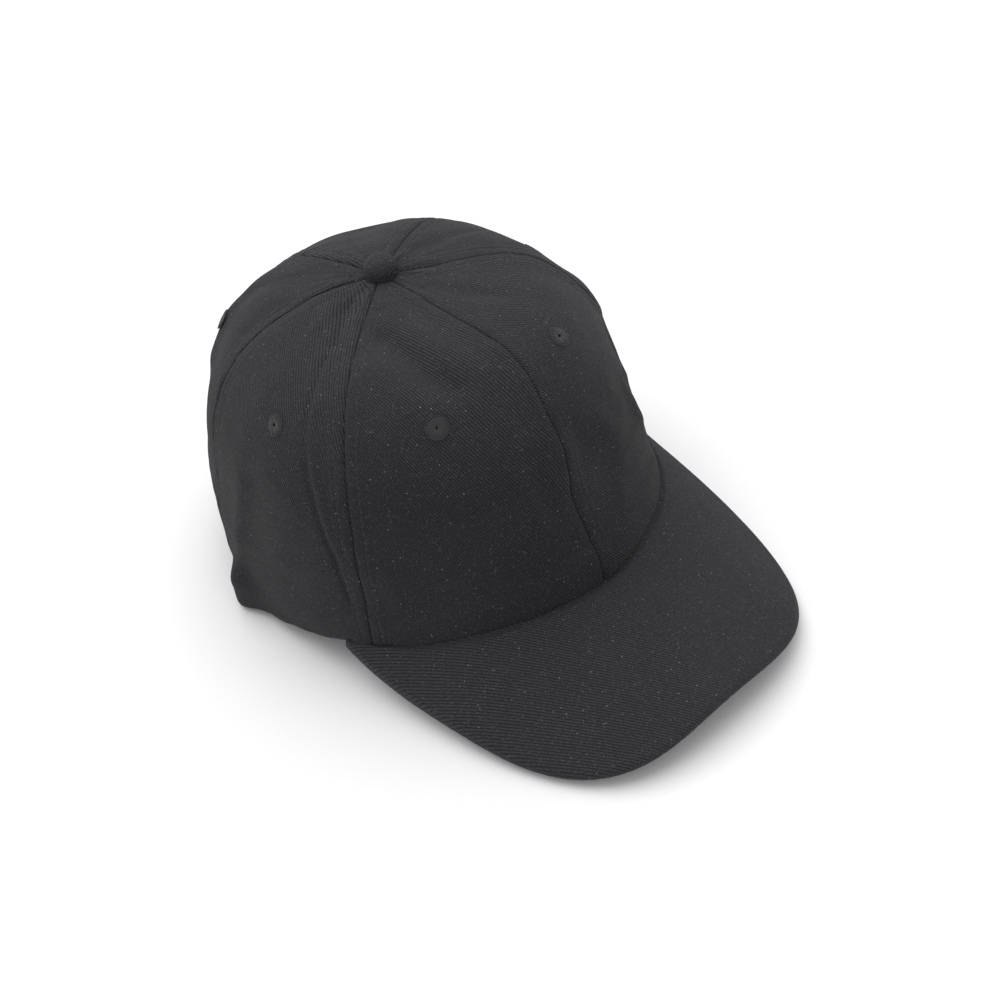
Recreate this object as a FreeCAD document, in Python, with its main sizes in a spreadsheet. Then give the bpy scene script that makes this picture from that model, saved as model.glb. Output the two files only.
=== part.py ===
"""Six-panel baseball cap with a curved brim and a buckled strap, as a parametric FreeCAD document.

Frame: millimetres, +Z up, -Y is the front (the brim), +X is the wearer's left.  The origin is the
middle of the head opening, on the surface that the cap stands on.
"""
import FreeCAD, Part
import os
from math import copysign, cos, degrees, hypot, pi, radians, sin, sqrt

import Sketcher
from FreeCAD import Placement, Rotation, Vector

doc = FreeCAD.newDocument("BaseballCap")

# ---------------------------------------------------------------- driving dimensions
SIZES = [
    # crown: plan, height and the curve of its walls
    ("crown_half_width", 85.0),
    ("crown_front_depth", 97.5),
    ("crown_rear_depth", 102.0),
    ("crown_height", 127.0),
    ("apex_back", 10.0),
    ("plan_power_front", 1.9),
    ("plan_power_rear", 2.2),
    ("wall_power_front", 4.6),
    ("wall_power_rear", 2.8),
    ("rise_power_front", 2.35),
    ("rise_power_rear", 2.15),
    ("front_hollow", 0.07),
    ("rear_swell", 0.04),
    ("front_seam_angle", 61.7),
    ("rear_seam_angle", 117.8),
    ("rear_rim_height", 13.0),
    ("rim_low_angle", 114.0),
    ("rim_low_height", 0.15),
    ("rim_fall_power", 1.3),
    ("panel_thickness", 1.0),
    ("seam_gap_angle", 0.16),
    ("layer_gap", 0.2),
    ("crown_hole_radius", 3.0),
    # seam tapes and sweatband
    ("tape_width", 16.0),
    ("tape_thickness", 0.5),
    ("tape_end_radius", 15.0),
    ("tape_taper", 0.8),
    ("tape_rim_gap", 1.0),
    ("sweatband_width", 32.0),
    ("sweatband_thickness", 1.2),
    ("sweatband_rim_gap", 0.6),
    ("sweatband_ease_angle", 96.0),
    ("sweatband_ease_turn", 26.0),
    ("label_angle", 84.0),
    ("label_edge", 2.0),
    ("label_width", 30.0),
    ("label_drop", 18.0),
    ("label_thickness", 0.4),
    # brim
    ("brim_end_angle", 69.0),
    ("brim_length", 60.0),
    ("brim_seam_height", 34.2),
    ("brim_slope", 0.28),
    ("brim_curve_radius", 119.5),
    ("brim_corner_power", 3.03),
    ("brim_cover_thickness", 0.9),
    ("brim_board_thickness", 1.8),
    ("brim_board_inset", 1.5),
    ("brim_board_reach", 0.94),
    ("brim_end_width", 0.8),
    ("brim_seam_gap", 0.25),
    ("brim_rim_drop", 1.5),
    # eyelets
    ("eyelet_front_angle", 30.0),
    ("eyelet_side_angle", 88.0),
    ("eyelet_rear_angle", 148.0),
    ("eyelet_front_share", 0.54),
    ("eyelet_side_share", 0.58),
    ("eyelet_rear_share", 0.55),
    ("eyelet_flange_radius", 4.8),
    ("eyelet_barrel_radius", 1.9),
    ("eyelet_hole_radius", 1.2),
    ("eyelet_flange_thickness", 0.5),
    ("eyelet_fit", 0.25),
    ("eyelet_seat", 0.35),
    # button
    ("button_radius", 7.0),
    ("button_height", 7.4),
    ("button_cover_thickness", 0.8),
    ("rivet_radius", 1.6),
    ("washer_radius", 9.0),
    ("washer_thickness", 0.8),
    # rear arch
    ("arch_half_width", 38.0),
    ("arch_spring_height", 15.0),
    ("binding_width", 10.0),
    ("binding_thickness", 0.6),
    # strap and buckle
    ("strap_width", 20.0),
    ("strap_thickness", 1.6),
    ("strap_bottom", 4.0),
    ("strap_end_angle", 46.0),
    ("strap_clearance", 0.4),
    ("tab_thickness", 1.2),
    ("tab_width", 16.0),
    ("tab_reach_angle", 36.0),
    ("buckle_angle", 18.5),
    ("buckle_half_length", 7.5),
    ("buckle_wall", 1.0),
    ("buckle_lip", 3.4),
    ("pin_radius", 0.7),
    ("pin_clearance", 0.05),
    ("lever_thickness", 1.0),
    ("lever_reach", 12.5),
    ("lever_barrel_radius", 1.5),
    ("lever_side_gap", 0.4),
    ("lever_end_gap", 0.3),
    ("lever_proud", 0.15),
    ("nose_gap", 0.1),
    ("nose_sink", 0.3),
    ("nose_offset", 1.05),
    ("nose_length", 1.8),
    ("pin_setback", 1.0),
    ("bar_radius", 0.8),
    ("bar_space", 1.6),
    ("bar_edge_gap", 0.4),
]

sheet = doc.addObject("Spreadsheet::Sheet", "Sizes")
for row, (alias, value) in enumerate(SIZES, start=1):
    sheet.set(f"A{row}", alias)
    sheet.set(f"B{row}", str(value))
    sheet.setAlias(f"B{row}", alias)
doc.recompute()


def size(alias):
    """The value of one named cell."""
    return float(sheet.get(alias))


# ---------------------------------------------------------------- the crown's surface
HALF_WIDTH = size("crown_half_width")
FRONT_DEPTH = size("crown_front_depth")
REAR_DEPTH = size("crown_rear_depth")
HEIGHT = size("crown_height")
APEX_BACK = size("apex_back")
BRIM_END = size("brim_end_angle")


def blend(front, rear, angle):
    """A value that runs from front to rear round the cap, angle in degrees from the front."""
    share = (1 + cos(radians(angle))) / 2
    return size(rear) + (size(front) - size(rear)) * share


def plan(angle):
    """The rim in plan: a superellipse, squarer behind than in front."""
    power = 2 / blend("plan_power_front", "plan_power_rear", angle)
    c = cos(radians(angle))
    s = sin(radians(angle))
    depth = FRONT_DEPTH if c > 0 else REAR_DEPTH
    return HALF_WIDTH * copysign(abs(s) ** power, s), -depth * copysign(abs(c) ** power, c)


def brim_height(x, y):
    """Height of the brim's top face: an inclined trough upside down."""
    radius = size("brim_curve_radius")
    drop = radius - sqrt(radius ** 2 - x ** 2)
    return size("brim_seam_height") + size("brim_slope") * (y + FRONT_DEPTH) - drop


def rim_height(angle):
    """Height of the crown's lower edge: behind the brim, down to the sides, then up to the rear."""
    turn = abs((angle + 180) % 360 - 180)
    seam = brim_height(*plan(min(turn, BRIM_END))) - size("brim_rim_drop")
    if turn <= BRIM_END:
        return seam
    turn_low = size("rim_low_angle")
    low = size("rim_low_height")
    if turn <= turn_low:
        share = (turn_low - turn) / (turn_low - BRIM_END)
        return low + (seam - low) * share ** size("rim_fall_power")
    share = (turn - turn_low) / (180 - turn_low)
    return low + (size("rear_rim_height") - low) * share ** 2 * (3 - 2 * share)


def wall(angle, rise):
    """A point of the crown's outer face, rise 0 at the rim and 1 at the apex."""
    x, y = plan(angle)
    c = cos(radians(angle))
    swell = size("rear_swell") * max(-c, 0) - size("front_hollow") * max(c, 0)
    quarter = rise * pi / 2
    reach = cos(quarter) ** (2 / blend("wall_power_front", "wall_power_rear", angle))
    reach += swell * 6.75 * rise * (1 - rise) ** 2
    lift = sin(quarter) ** (2 / blend("rise_power_front", "rise_power_rear", angle))
    low = rim_height(angle)
    return Vector(x * reach, y * reach + APEX_BACK * (1 - reach), low + (HEIGHT - low) * lift)


def outward(angle, rise):
    """The crown's outward normal."""
    step = 0.002
    low = max(rise - step, 0)
    high = min(rise + step, 0.99999)
    up = wall(angle, high) - wall(angle, low)
    side = wall(angle + 0.2, rise) - wall(angle - 0.2, rise)
    return side.cross(up).normalize()


def rises_along(angle, from_rim, stations, end_radius):
    """Rise values spaced evenly by length, from a distance above the rim to a ring at the apex."""
    samples = 240
    rises = [1 - (1 - k / samples) ** 3 for k in range(samples)]
    points = [wall(angle, rise) for rise in rises]
    lengths = [0.0]
    for near, far in zip(points, points[1:]):
        lengths.append(lengths[-1] + near.distanceToPoint(far))
    inside = [k for k, p in enumerate(points) if hypot(p.x, p.y - APEX_BACK) < end_radius]
    end = lengths[inside[0]] if inside else lengths[-1]
    found = []
    for station in range(stations):
        target = from_rim + (end - from_rim) * station / (stations - 1)
        k = next((k for k, length in enumerate(lengths) if length > target), samples - 1)
        part = (target - lengths[k - 1]) / (lengths[k] - lengths[k - 1])
        found.append(rises[k - 1] + part * (rises[k] - rises[k - 1]))
    return found


def rise_at(angle, length):
    """The rise of the point a given length above the rim."""
    return rises_along(angle, length, 2, 5.0)[0]


def inside_point(angle, rise, inset):
    """A point a distance inside the crown's outer face."""
    return wall(angle, rise) - outward(angle, rise) * inset


# ---------------------------------------------------------------- solids and document objects
def sheet_solid(top, bottom):
    """A thin closed solid between two grids of points of the same shape."""
    faces = []
    surfaces = []
    for grid in (top, bottom):
        surface = Part.BSplineSurface()
        surface.interpolate(grid)
        surfaces.append(surface)
        faces.append(surface.toShape())
    u_low, u_high, v_low, v_high = surfaces[0].bounds()
    for end in (u_low, u_high):
        faces.append(Part.makeRuledSurface(*[s.uIso(end).toShape() for s in surfaces]))
    for end in (v_low, v_high):
        faces.append(Part.makeRuledSurface(*[s.vIso(end).toShape() for s in surfaces]))
    shell = Part.makeShell(faces)
    shell.sewShape()
    solid = Part.makeSolid(shell)
    if solid.Volume < 0:
        solid.reverse()
    return solid


def spread(low, high, count):
    """Evenly spaced values, both ends included."""
    return [low + (high - low) * k / (count - 1) for k in range(count)]


def feature(name, shape):
    """A document object that holds a shape made by formula."""
    item = doc.addObject("Part::Feature", name)
    item.Shape = shape
    item.Placement = Placement()
    return item


def primitive(kind, name, place=None, **sizes):
    """A Part primitive whose sizes are expressions on the sheet."""
    item = doc.addObject("Part::" + kind, name)
    for prop, expression in sizes.items():
        item.setExpression(prop, expression)
    if place is not None:
        item.Placement = place
    return item


def combine(kind, name, base, tool):
    """A boolean of two document objects."""
    item = doc.addObject("Part::" + kind, name)
    item.Base = base
    item.Tool = tool
    return item


def turned_body(name, profile, place):
    """A body turned about its own Z axis from a closed profile of (radius, height) expressions."""
    body = doc.addObject("PartDesign::Body", name)
    sketch = body.newObject("Sketcher::SketchObject", name + "_profile")
    plane = [f for f in body.Origin.OriginFeatures if f.Role == "XZ_Plane"][0]
    sketch.AttachmentSupport = [(plane, "")]
    sketch.MapMode = "FlatFace"
    corners = [Vector(2.0 + 0.1 * k, 0.1 * k * k, 0) for k in range(len(profile))]
    for k, corner in enumerate(corners):
        sketch.addGeometry(Part.LineSegment(corner, corners[(k + 1) % len(corners)]), False)
    for k, (radius, height) in enumerate(profile):
        sketch.addConstraint(Sketcher.Constraint("Coincident", k, 2, (k + 1) % len(profile), 1))
        across = sketch.addConstraint(Sketcher.Constraint("DistanceX", -1, 1, k, 1, corners[k].x))
        sketch.setExpression(f"Constraints[{across}]", radius)
        along = sketch.addConstraint(Sketcher.Constraint("DistanceY", -1, 1, k, 1, corners[k].y))
        sketch.setExpression(f"Constraints[{along}]", height)
    turn = body.newObject("PartDesign::Revolution", name + "_turn")
    turn.Profile = sketch
    turn.ReferenceAxis = (sketch, ["V_Axis"])
    turn.Angle = 360
    body.Tip = turn
    body.Placement = place
    return body


NODES = []


def node(item, label):
    """Mark a document object as one sub-part of the cap."""
    item.Label = label
    NODES.append(item)
    return item


# ---------------------------------------------------------------- rear arch cutters
# the cutter reaches this far below the table and starts this share of the rear depth behind the middle
ARCH_BELOW = 40
ARCH_START_SHARE = 0.45


def arch_cutter(name, grow):
    """The half-round opening in the rear wall, grown by a distance: a box below a cylinder."""
    half = f"(Sizes.arch_half_width + {grow})"
    box = primitive(
        "Box", name + "_feet",
        Length=f"2 * {half}", Width="Sizes.crown_rear_depth",
        Height=f"Sizes.arch_spring_height + {ARCH_BELOW}",
    )
    box.setExpression("Placement.Base.x", f"-{half}")
    box.setExpression("Placement.Base.y", f"Sizes.crown_rear_depth * {ARCH_START_SHARE}")
    box.setExpression("Placement.Base.z", f"-{ARCH_BELOW}")
    top = primitive("Cylinder", name + "_top", Radius=half, Height="Sizes.crown_rear_depth")
    top.Placement = Placement(Vector(0, 0, 0), Rotation(Vector(1, 0, 0), -90))
    top.setExpression("Placement.Base.y", f"Sizes.crown_rear_depth * {ARCH_START_SHARE}")
    top.setExpression("Placement.Base.z", "Sizes.arch_spring_height")
    return combine("Fuse", name, box, top)


arch_opening = arch_cutter("ArchOpening", "0")
arch_clear = arch_cutter("ArchClear", "Sizes.layer_gap")
arch_band = arch_cutter("ArchBand", "Sizes.binding_width")
arch_band_clear = arch_cutter("ArchBandClear", "Sizes.binding_width + Sizes.layer_gap")

# ---------------------------------------------------------------- crown panels and eyelets
PANEL_ENDS = {
    "front": (0.0, size("front_seam_angle")),
    "side": (size("front_seam_angle"), size("rear_seam_angle")),
    "back": (size("rear_seam_angle"), 180.0),
}
SIDES = {"left": 1, "right": -1}


def crown_sheet(start, end, outer, inner, columns, rows=15):
    """A solid layer of the crown between two angles and two depths below its outer face."""
    grids = ([], [])
    for angle in spread(start, end, columns):
        rises = rises_along(angle, 0.0, rows, size("crown_hole_radius"))
        for grid, inset in zip(grids, (outer, inner)):
            grid.append([inside_point(angle, rise, inset) for rise in rises])
    return sheet_solid(*grids)


def eyelet_place(side, panel):
    """Where an eyelet sits: on the crown's outer face, its Z axis along the outward normal."""
    angle = side * size(f"eyelet_{panel}_angle")
    rises = rises_along(angle, 0.0, 101, size("crown_hole_radius"))
    rise = rises[round(100 * size(f"eyelet_{panel}_share"))]
    return Placement(wall(angle, rise), Rotation(Vector(0, 0, 1), outward(angle, rise)))


EYELET_NAMES = {"front": "front", "side": "side", "back": "rear"}
PANEL_COLUMNS = 15
# the drill for an eyelet reaches this many cloth thicknesses to each side of the cloth
DRILL_REACH = 4
for side_name, side in SIDES.items():
    for panel, (start, end) in PANEL_ENDS.items():
        gap = size("seam_gap_angle") / 2
        cloth_depth = size("panel_thickness")
        shape = crown_sheet(side * (start + gap), side * (end - gap), 0.0, cloth_depth, PANEL_COLUMNS)
        blank = feature(f"{panel}_{side_name}_blank", shape)
        spot = eyelet_place(side, EYELET_NAMES[panel])
        hole = primitive(
            "Cylinder", f"{panel}_{side_name}_hole",
            Radius="Sizes.eyelet_barrel_radius + Sizes.eyelet_fit",
            Height=f"Sizes.panel_thickness * {2 * DRILL_REACH}",
            place=spot * Placement(Vector(0, 0, -DRILL_REACH * size("panel_thickness")), Rotation()),
        )
        cloth = combine("Cut", f"{panel}_{side_name}_pierced", blank, hole)
        if panel == "back":
            cloth = combine("Cut", f"{panel}_{side_name}_arched", cloth, arch_opening)
        node(cloth, f"{panel}_panel_{side_name}")

        low_face = "-(Sizes.panel_thickness + Sizes.eyelet_seat)"
        ring = turned_body(f"{panel}_{side_name}_eyelet", [
            ("Sizes.eyelet_hole_radius", f"{low_face} - Sizes.eyelet_flange_thickness"),
            ("Sizes.eyelet_flange_radius", f"{low_face} - Sizes.eyelet_flange_thickness"),
            ("Sizes.eyelet_flange_radius", low_face),
            ("Sizes.eyelet_barrel_radius", low_face),
            ("Sizes.eyelet_barrel_radius", "Sizes.eyelet_seat"),
            ("Sizes.eyelet_flange_radius", "Sizes.eyelet_seat"),
            ("Sizes.eyelet_flange_radius", "Sizes.eyelet_seat + Sizes.eyelet_flange_thickness"),
            ("Sizes.eyelet_hole_radius", "Sizes.eyelet_seat + Sizes.eyelet_flange_thickness"),
        ], spot)
        node(ring, f"eyelet_{panel}_{side_name}")

# ---------------------------------------------------------------- seam tapes inside the crown
TAPE_OUTER = size("panel_thickness") + size("layer_gap")
TAPE_INNER = TAPE_OUTER + size("tape_thickness")


def tape_solid(angle, from_rim):
    """A strip over one seam, narrowing towards the apex so that neighbours do not meet."""
    grids = ([], [])
    rises = rises_along(angle, from_rim, 15, size("tape_end_radius"))
    for rise in rises:
        middle = inside_point(angle, rise, 0)
        reach = hypot(middle.x, middle.y - APEX_BACK)
        half = min(size("tape_width"), size("tape_taper") * reach) / 2
        turn = 2 * half / wall(angle - 1, rise).distanceToPoint(wall(angle + 1, rise))
        for grid, inset in zip(grids, (TAPE_OUTER, TAPE_INNER)):
            row = [inside_point(angle + side, rise, inset) for side in spread(-turn, turn, 5)]
            grid.append(row)
    return sheet_solid(*grids)


TAPES = {"front_centre": 0.0, "back_centre": 180.0}
for side_name, side in SIDES.items():
    TAPES[f"front_{side_name}"] = side * size("front_seam_angle")
    TAPES[f"back_{side_name}"] = side * size("rear_seam_angle")
for tape_name, angle in TAPES.items():
    tape = feature(f"tape_{tape_name}_strip", tape_solid(angle, size("tape_rim_gap")))
    if tape_name == "back_centre":
        tape = combine("Cut", "tape_back_centre_trimmed", tape, arch_band_clear)
    node(tape, f"seam_tape_{tape_name}")

# ---------------------------------------------------------------- arch binding
BINDING_OUTER = size("panel_thickness") + size("layer_gap")
REAR_SHEET_TURN = 50.0
REAR_SHEET_COLUMNS = 21
BINDING_INNER = BINDING_OUTER + size("binding_thickness")
rear_layer = feature("RearLayer", crown_sheet(
    180 - REAR_SHEET_TURN, 180 + REAR_SHEET_TURN, BINDING_OUTER, BINDING_INNER, REAR_SHEET_COLUMNS,
))
binding_outline = combine("Cut", "BindingOutline", arch_band, arch_clear)
node(combine("Common", "ArchBindingStrip", rear_layer, binding_outline), "arch_binding")

# ---------------------------------------------------------------- strap circle
STRAP_DEPTH = BINDING_OUTER + size("binding_thickness") + size("tab_thickness")
STRAP_DEPTH += 2 * size("strap_clearance")
STRAP_MIDDLE = size("strap_bottom") + size("strap_width") / 2


def circle_behind(depth, angle):
    """The circle, centred on x = 0, through the rear plan at 180 degrees and at an angle."""
    rear_y = plan(180.0)[1] - depth
    side_x, side_y = plan(angle)
    scale = 1 - depth / hypot(side_x, side_y)
    side_x *= scale
    side_y *= scale
    radius = (side_x ** 2 + (rear_y - side_y) ** 2) / (2 * (rear_y - side_y))
    return rear_y - radius, radius


STRAP_CENTRE, STRAP_RADIUS = circle_behind(STRAP_DEPTH, 180 - REAR_SHEET_TURN)


def about_strap(angle, radius, height):
    """A point on a cylinder round the strap's centre, angle in degrees from straight behind."""
    return Vector(radius * sin(radians(angle)), STRAP_CENTRE + radius * cos(radians(angle)), height)


def curved_band(inner, outer, start, end, low, high):
    """A solid band of constant thickness round the strap's centre."""
    middle = (start + end) / 2
    arcs = [
        Part.Arc(*[about_strap(a, radius, low) for a in (start, middle, end)]).toShape()
        for radius in (inner, outer)
    ]
    ends = [
        Part.makeLine(about_strap(a, inner, low), about_strap(a, outer, low)) for a in (start, end)
    ]
    outline = Part.Wire(Part.sortEdges([arcs[0], ends[1], arcs[1], ends[0]])[0])
    return Part.Face(outline).extrude(Vector(0, 0, high - low))


node(feature("StrapBand", curved_band(
    STRAP_RADIUS - size("strap_thickness"), STRAP_RADIUS,
    -size("strap_end_angle"), size("strap_end_angle"),
    size("strap_bottom"), size("strap_bottom") + size("strap_width"),
)), "strap")

# ---------------------------------------------------------------- sweatband and label
SWEATBAND_BASE = TAPE_INNER + size("layer_gap")
SWEATBAND_END = next(a for a in spread(180.0, 90.0, 361) if plan(a)[0] > size("arch_half_width") + 2)


def sweatband_inset(angle, rise):
    """Depth of the sweatband: on the tapes in front, inside the strap's ends behind."""
    outer = wall(angle, rise)
    strap_inside = STRAP_RADIUS - size("strap_thickness") - size("strap_clearance")
    behind = hypot(outer.x, outer.y - STRAP_CENTRE) - strap_inside
    share = (abs(angle) - size("sweatband_ease_angle")) / size("sweatband_ease_turn")
    share = min(max(share, 0), 1)
    ease = share ** 2 * (3 - 2 * share)
    return SWEATBAND_BASE + (max(behind, SWEATBAND_BASE) - SWEATBAND_BASE) * ease


def band_grid(angles, low, high, extra, rows):
    """Points on the sweatband's layer between two lengths above the rim."""
    grid = []
    for angle in angles:
        column = []
        for length in spread(low, high, rows):
            rise = rise_at(angle, length)
            column.append(inside_point(angle, rise, sweatband_inset(angle, rise) + extra))
        grid.append(column)
    return grid


# points along and across the grids of the sweatband and its label
BAND_COLUMNS, BAND_ROWS = 61, 5
LABEL_COLUMNS, LABEL_ROWS = 7, 4

band_angles = spread(-SWEATBAND_END, SWEATBAND_END, BAND_COLUMNS)
band_low, band_high = size("sweatband_rim_gap"), size("sweatband_width")
node(feature("SweatbandStrip", sheet_solid(
    band_grid(band_angles, band_low, band_high, 0.0, BAND_ROWS),
    band_grid(band_angles, band_low, band_high, size("sweatband_thickness"), BAND_ROWS),
)), "sweatband")

label_half = degrees(size("label_width") / 2 / HALF_WIDTH)
label_middle = size("label_angle")
label_angles = spread(label_middle - label_half, label_middle + label_half, LABEL_COLUMNS)
label_depth = size("sweatband_thickness") + size("layer_gap")
label_low = size("sweatband_width") - size("label_drop")
label_high = size("sweatband_width") - size("label_edge")
node(feature("LabelPatch", sheet_solid(
    band_grid(label_angles, label_low, label_high, label_depth, LABEL_ROWS),
    band_grid(label_angles, label_low, label_high, label_depth + size("label_thickness"), LABEL_ROWS),
)), "blank_label")

# ---------------------------------------------------------------- brim
BRIM_END_X = plan(BRIM_END)[0] + size("brim_end_width")
BRIM_END_Y = plan(BRIM_END)[1]
BRIM_COLUMNS, BRIM_ROWS = 37, 7


def brim_point(side, share, depth, edge_inset):
    """A point of the brim, side -1 to 1 round it, share 0 at the crown and 1 at the edge."""
    turn = side * pi / 2
    x, y = plan(side * BRIM_END)
    clear = 1 + size("brim_seam_gap") / hypot(x, y)
    inner = Vector(x * clear, y * clear, 0)
    power = 2 / size("brim_corner_power")
    length = FRONT_DEPTH + size("brim_length") + BRIM_END_Y
    outer = Vector(
        BRIM_END_X * copysign(abs(sin(turn)) ** power, turn),
        BRIM_END_Y - length * max(cos(turn), 0) ** power, 0,
    )
    span = outer - inner
    spot = inner + span * share * (1 - edge_inset / span.Length)
    slope = spot.x / sqrt(size("brim_curve_radius") ** 2 - spot.x ** 2)
    upright = sqrt(1 + slope ** 2 + size("brim_slope") ** 2)
    return Vector(spot.x, spot.y, brim_height(spot.x, spot.y) - depth * upright)


def brim_sheet(top, bottom, edge_inset, reach):
    """One layer of the brim between two depths below its top face, over part of its sweep."""
    sides = [reach * sin(turn * pi / 2) for turn in spread(-1, 1, BRIM_COLUMNS)]
    grids = []
    for depth in (top, bottom):
        grids.append([
            [brim_point(side, share, depth, edge_inset) for share in spread(0, 1, BRIM_ROWS)]
            for side in sides
        ])
    return sheet_solid(*grids)


cover = size("brim_cover_thickness")
board_top = cover + size("layer_gap")
board_bottom = board_top + size("brim_board_thickness")
under_top = board_bottom + size("layer_gap")
board = brim_sheet(board_top, board_bottom, size("brim_board_inset"), size("brim_board_reach"))
node(feature("BrimTop", brim_sheet(0, cover, 0, 1)), "brim_top_cover")
node(feature("BrimBoard", board), "brim_board")
node(feature("BrimUnder", brim_sheet(under_top, under_top + cover, 0, 1)), "brim_under_cover")

# ---------------------------------------------------------------- button on the apex
APEX = Vector(0, APEX_BACK, HEIGHT)
DOME = "((Sizes.button_radius ^ 2 + Sizes.button_height ^ 2) / (2 * Sizes.button_height))"
DOME_DROP = f"({DOME} - Sizes.button_height)"
CORE = f"({DOME} - Sizes.button_cover_thickness - Sizes.layer_gap)"


def dome(name, radius, drop):
    """The part of a sphere above a level plane that passes a distance above its centre."""
    item = primitive("Sphere", name, Radius=radius, Angle1=f"asin({drop} / {radius})")
    item.Placement = Placement(Vector(0, APEX_BACK, 0), Rotation())
    item.setExpression("Placement.Base.z", f"Sizes.crown_height + Sizes.layer_gap - {DOME_DROP}")
    return item


button_outer = dome("ButtonOuter", DOME, DOME_DROP)
button_inner = dome("ButtonInner", f"({DOME} - Sizes.button_cover_thickness)", "(-1)")
node(combine("Cut", "ButtonCover", button_outer, button_inner), "button_cover")
node(dome("ButtonCore", CORE, DOME_DROP), "button_core")

UNDER_CROWN = size("panel_thickness") + size("layer_gap")
washer_low = APEX - Vector(0, 0, UNDER_CROWN + size("washer_thickness"))
washer_disc = primitive(
    "Cylinder", "WasherDisc", place=Placement(washer_low, Rotation()),
    Radius="Sizes.washer_radius", Height="Sizes.washer_thickness")
washer_hole = primitive(
    "Cylinder", "WasherHole", place=Placement(washer_low, Rotation()),
    Radius="Sizes.rivet_radius + Sizes.pin_clearance", Height="Sizes.washer_thickness")
node(combine("Cut", "Washer", washer_disc, washer_hole), "button_washer")

shank = primitive(
    "Cylinder", "RivetShank", place=Placement(washer_low, Rotation()), Radius="Sizes.rivet_radius",
    Height="Sizes.washer_thickness + Sizes.panel_thickness + 2 * Sizes.layer_gap")
head = primitive(
    "Cylinder", "RivetHead", place=Placement(washer_low, Rotation(Vector(1, 0, 0), 180)),
    Radius="2 * Sizes.rivet_radius", Height="Sizes.washer_thickness")
node(combine("Fuse", "Rivet", shank, head), "button_rivet")

# ---------------------------------------------------------------- buckle, in its own frame
# x runs along the strap towards the middle of the back, y outward, z up, from the strap's outer face
BUCKLE_PLACE = Placement(
    about_strap(-size("buckle_angle"), STRAP_RADIUS, STRAP_MIDDLE),
    Rotation(Vector(0, 0, 1), size("buckle_angle")))
BAR_ROOM = 2 * size("bar_radius") + size("bar_space")
REAR_END = -(size("buckle_half_length") + BAR_ROOM)
SAG = STRAP_RADIUS - sqrt(STRAP_RADIUS ** 2 - REAR_END ** 2)
BACK_FACE = -(size("strap_thickness") + SAG + size("strap_clearance"))
WALL_INSIDE = size("strap_width") / 2 + size("lever_side_gap")
WALL_OUTSIDE = WALL_INSIDE + size("buckle_wall")
PIN_OUT = size("lever_barrel_radius") + size("strap_clearance")
PIN_X = -size("buckle_half_length") + 2 * size("lever_barrel_radius") + size("pin_setback")
BAR_OUT = size("strap_clearance") + size("tab_thickness") / 2 + size("layer_gap") + size("bar_radius")
BAR_X = REAR_END + size("bar_radius") + size("bar_edge_gap")


def at_buckle(x, y, z):
    """A placement in the buckle's own frame."""
    return BUCKLE_PLACE * Placement(Vector(x, y, z), Rotation())


def block(name, low, high):
    """A box between two corners in the buckle's own frame."""
    item = doc.addObject("Part::Box", name)
    item.Length, item.Width, item.Height = [b - a for a, b in zip(low, high)]
    item.Placement = at_buckle(*low)
    return item


channel_solid = block(
    "ChannelSolid", (REAR_END, BACK_FACE - size("buckle_wall"), -WALL_OUTSIDE),
    (size("buckle_half_length"), size("buckle_lip"), WALL_OUTSIDE))
channel_room = block(
    "ChannelRoom", (REAR_END - 1, BACK_FACE, -WALL_INSIDE),
    (size("buckle_half_length") + 1, size("buckle_lip") + 1, WALL_INSIDE))
channel = combine("Cut", "Channel", channel_solid, channel_room)
pin_hole = primitive(
    "Cylinder", "PinHole", place=at_buckle(PIN_X, PIN_OUT, -2 * WALL_OUTSIDE),
    Radius="Sizes.pin_radius + Sizes.pin_clearance")
pin_hole.Height = 4 * WALL_OUTSIDE
bar = primitive(
    "Cylinder", "LoopBar", place=at_buckle(BAR_X, BAR_OUT, -WALL_OUTSIDE), Radius="Sizes.bar_radius")
bar.Height = 2 * WALL_OUTSIDE
drilled = combine("Cut", "ChannelDrilled", channel, pin_hole)
node(combine("Fuse", "BuckleFrame", drilled, bar), "buckle_frame")

pin = primitive(
    "Cylinder", "HingePin", place=at_buckle(PIN_X, PIN_OUT, -WALL_OUTSIDE), Radius="Sizes.pin_radius")
pin.Height = 2 * WALL_OUTSIDE
node(pin, "buckle_hinge_pin")

LEVER_HALF = WALL_INSIDE - size("lever_end_gap")
LEVER_OUT = PIN_OUT + size("lever_barrel_radius") + size("lever_proud")
NOSE_X = PIN_X + size("nose_offset")
plate = block(
    "LeverPlate", (PIN_X, LEVER_OUT - size("lever_thickness"), -LEVER_HALF),
    (PIN_X + size("lever_reach"), LEVER_OUT, LEVER_HALF))
nose = block(
    "LeverNose", (NOSE_X, size("strap_clearance") + size("nose_gap"), -LEVER_HALF),
    (NOSE_X + size("nose_length"), LEVER_OUT - size("nose_sink"), LEVER_HALF))
barrel = primitive(
    "Cylinder", "LeverBarrel", place=at_buckle(PIN_X, PIN_OUT, -LEVER_HALF),
    Radius="Sizes.lever_barrel_radius")
barrel.Height = 2 * LEVER_HALF
lever_solid = combine("Fuse", "LeverSolid", combine("Fuse", "LeverFlat", plate, nose), barrel)
node(combine("Cut", "Lever", lever_solid, pin_hole), "buckle_lever")

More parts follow.
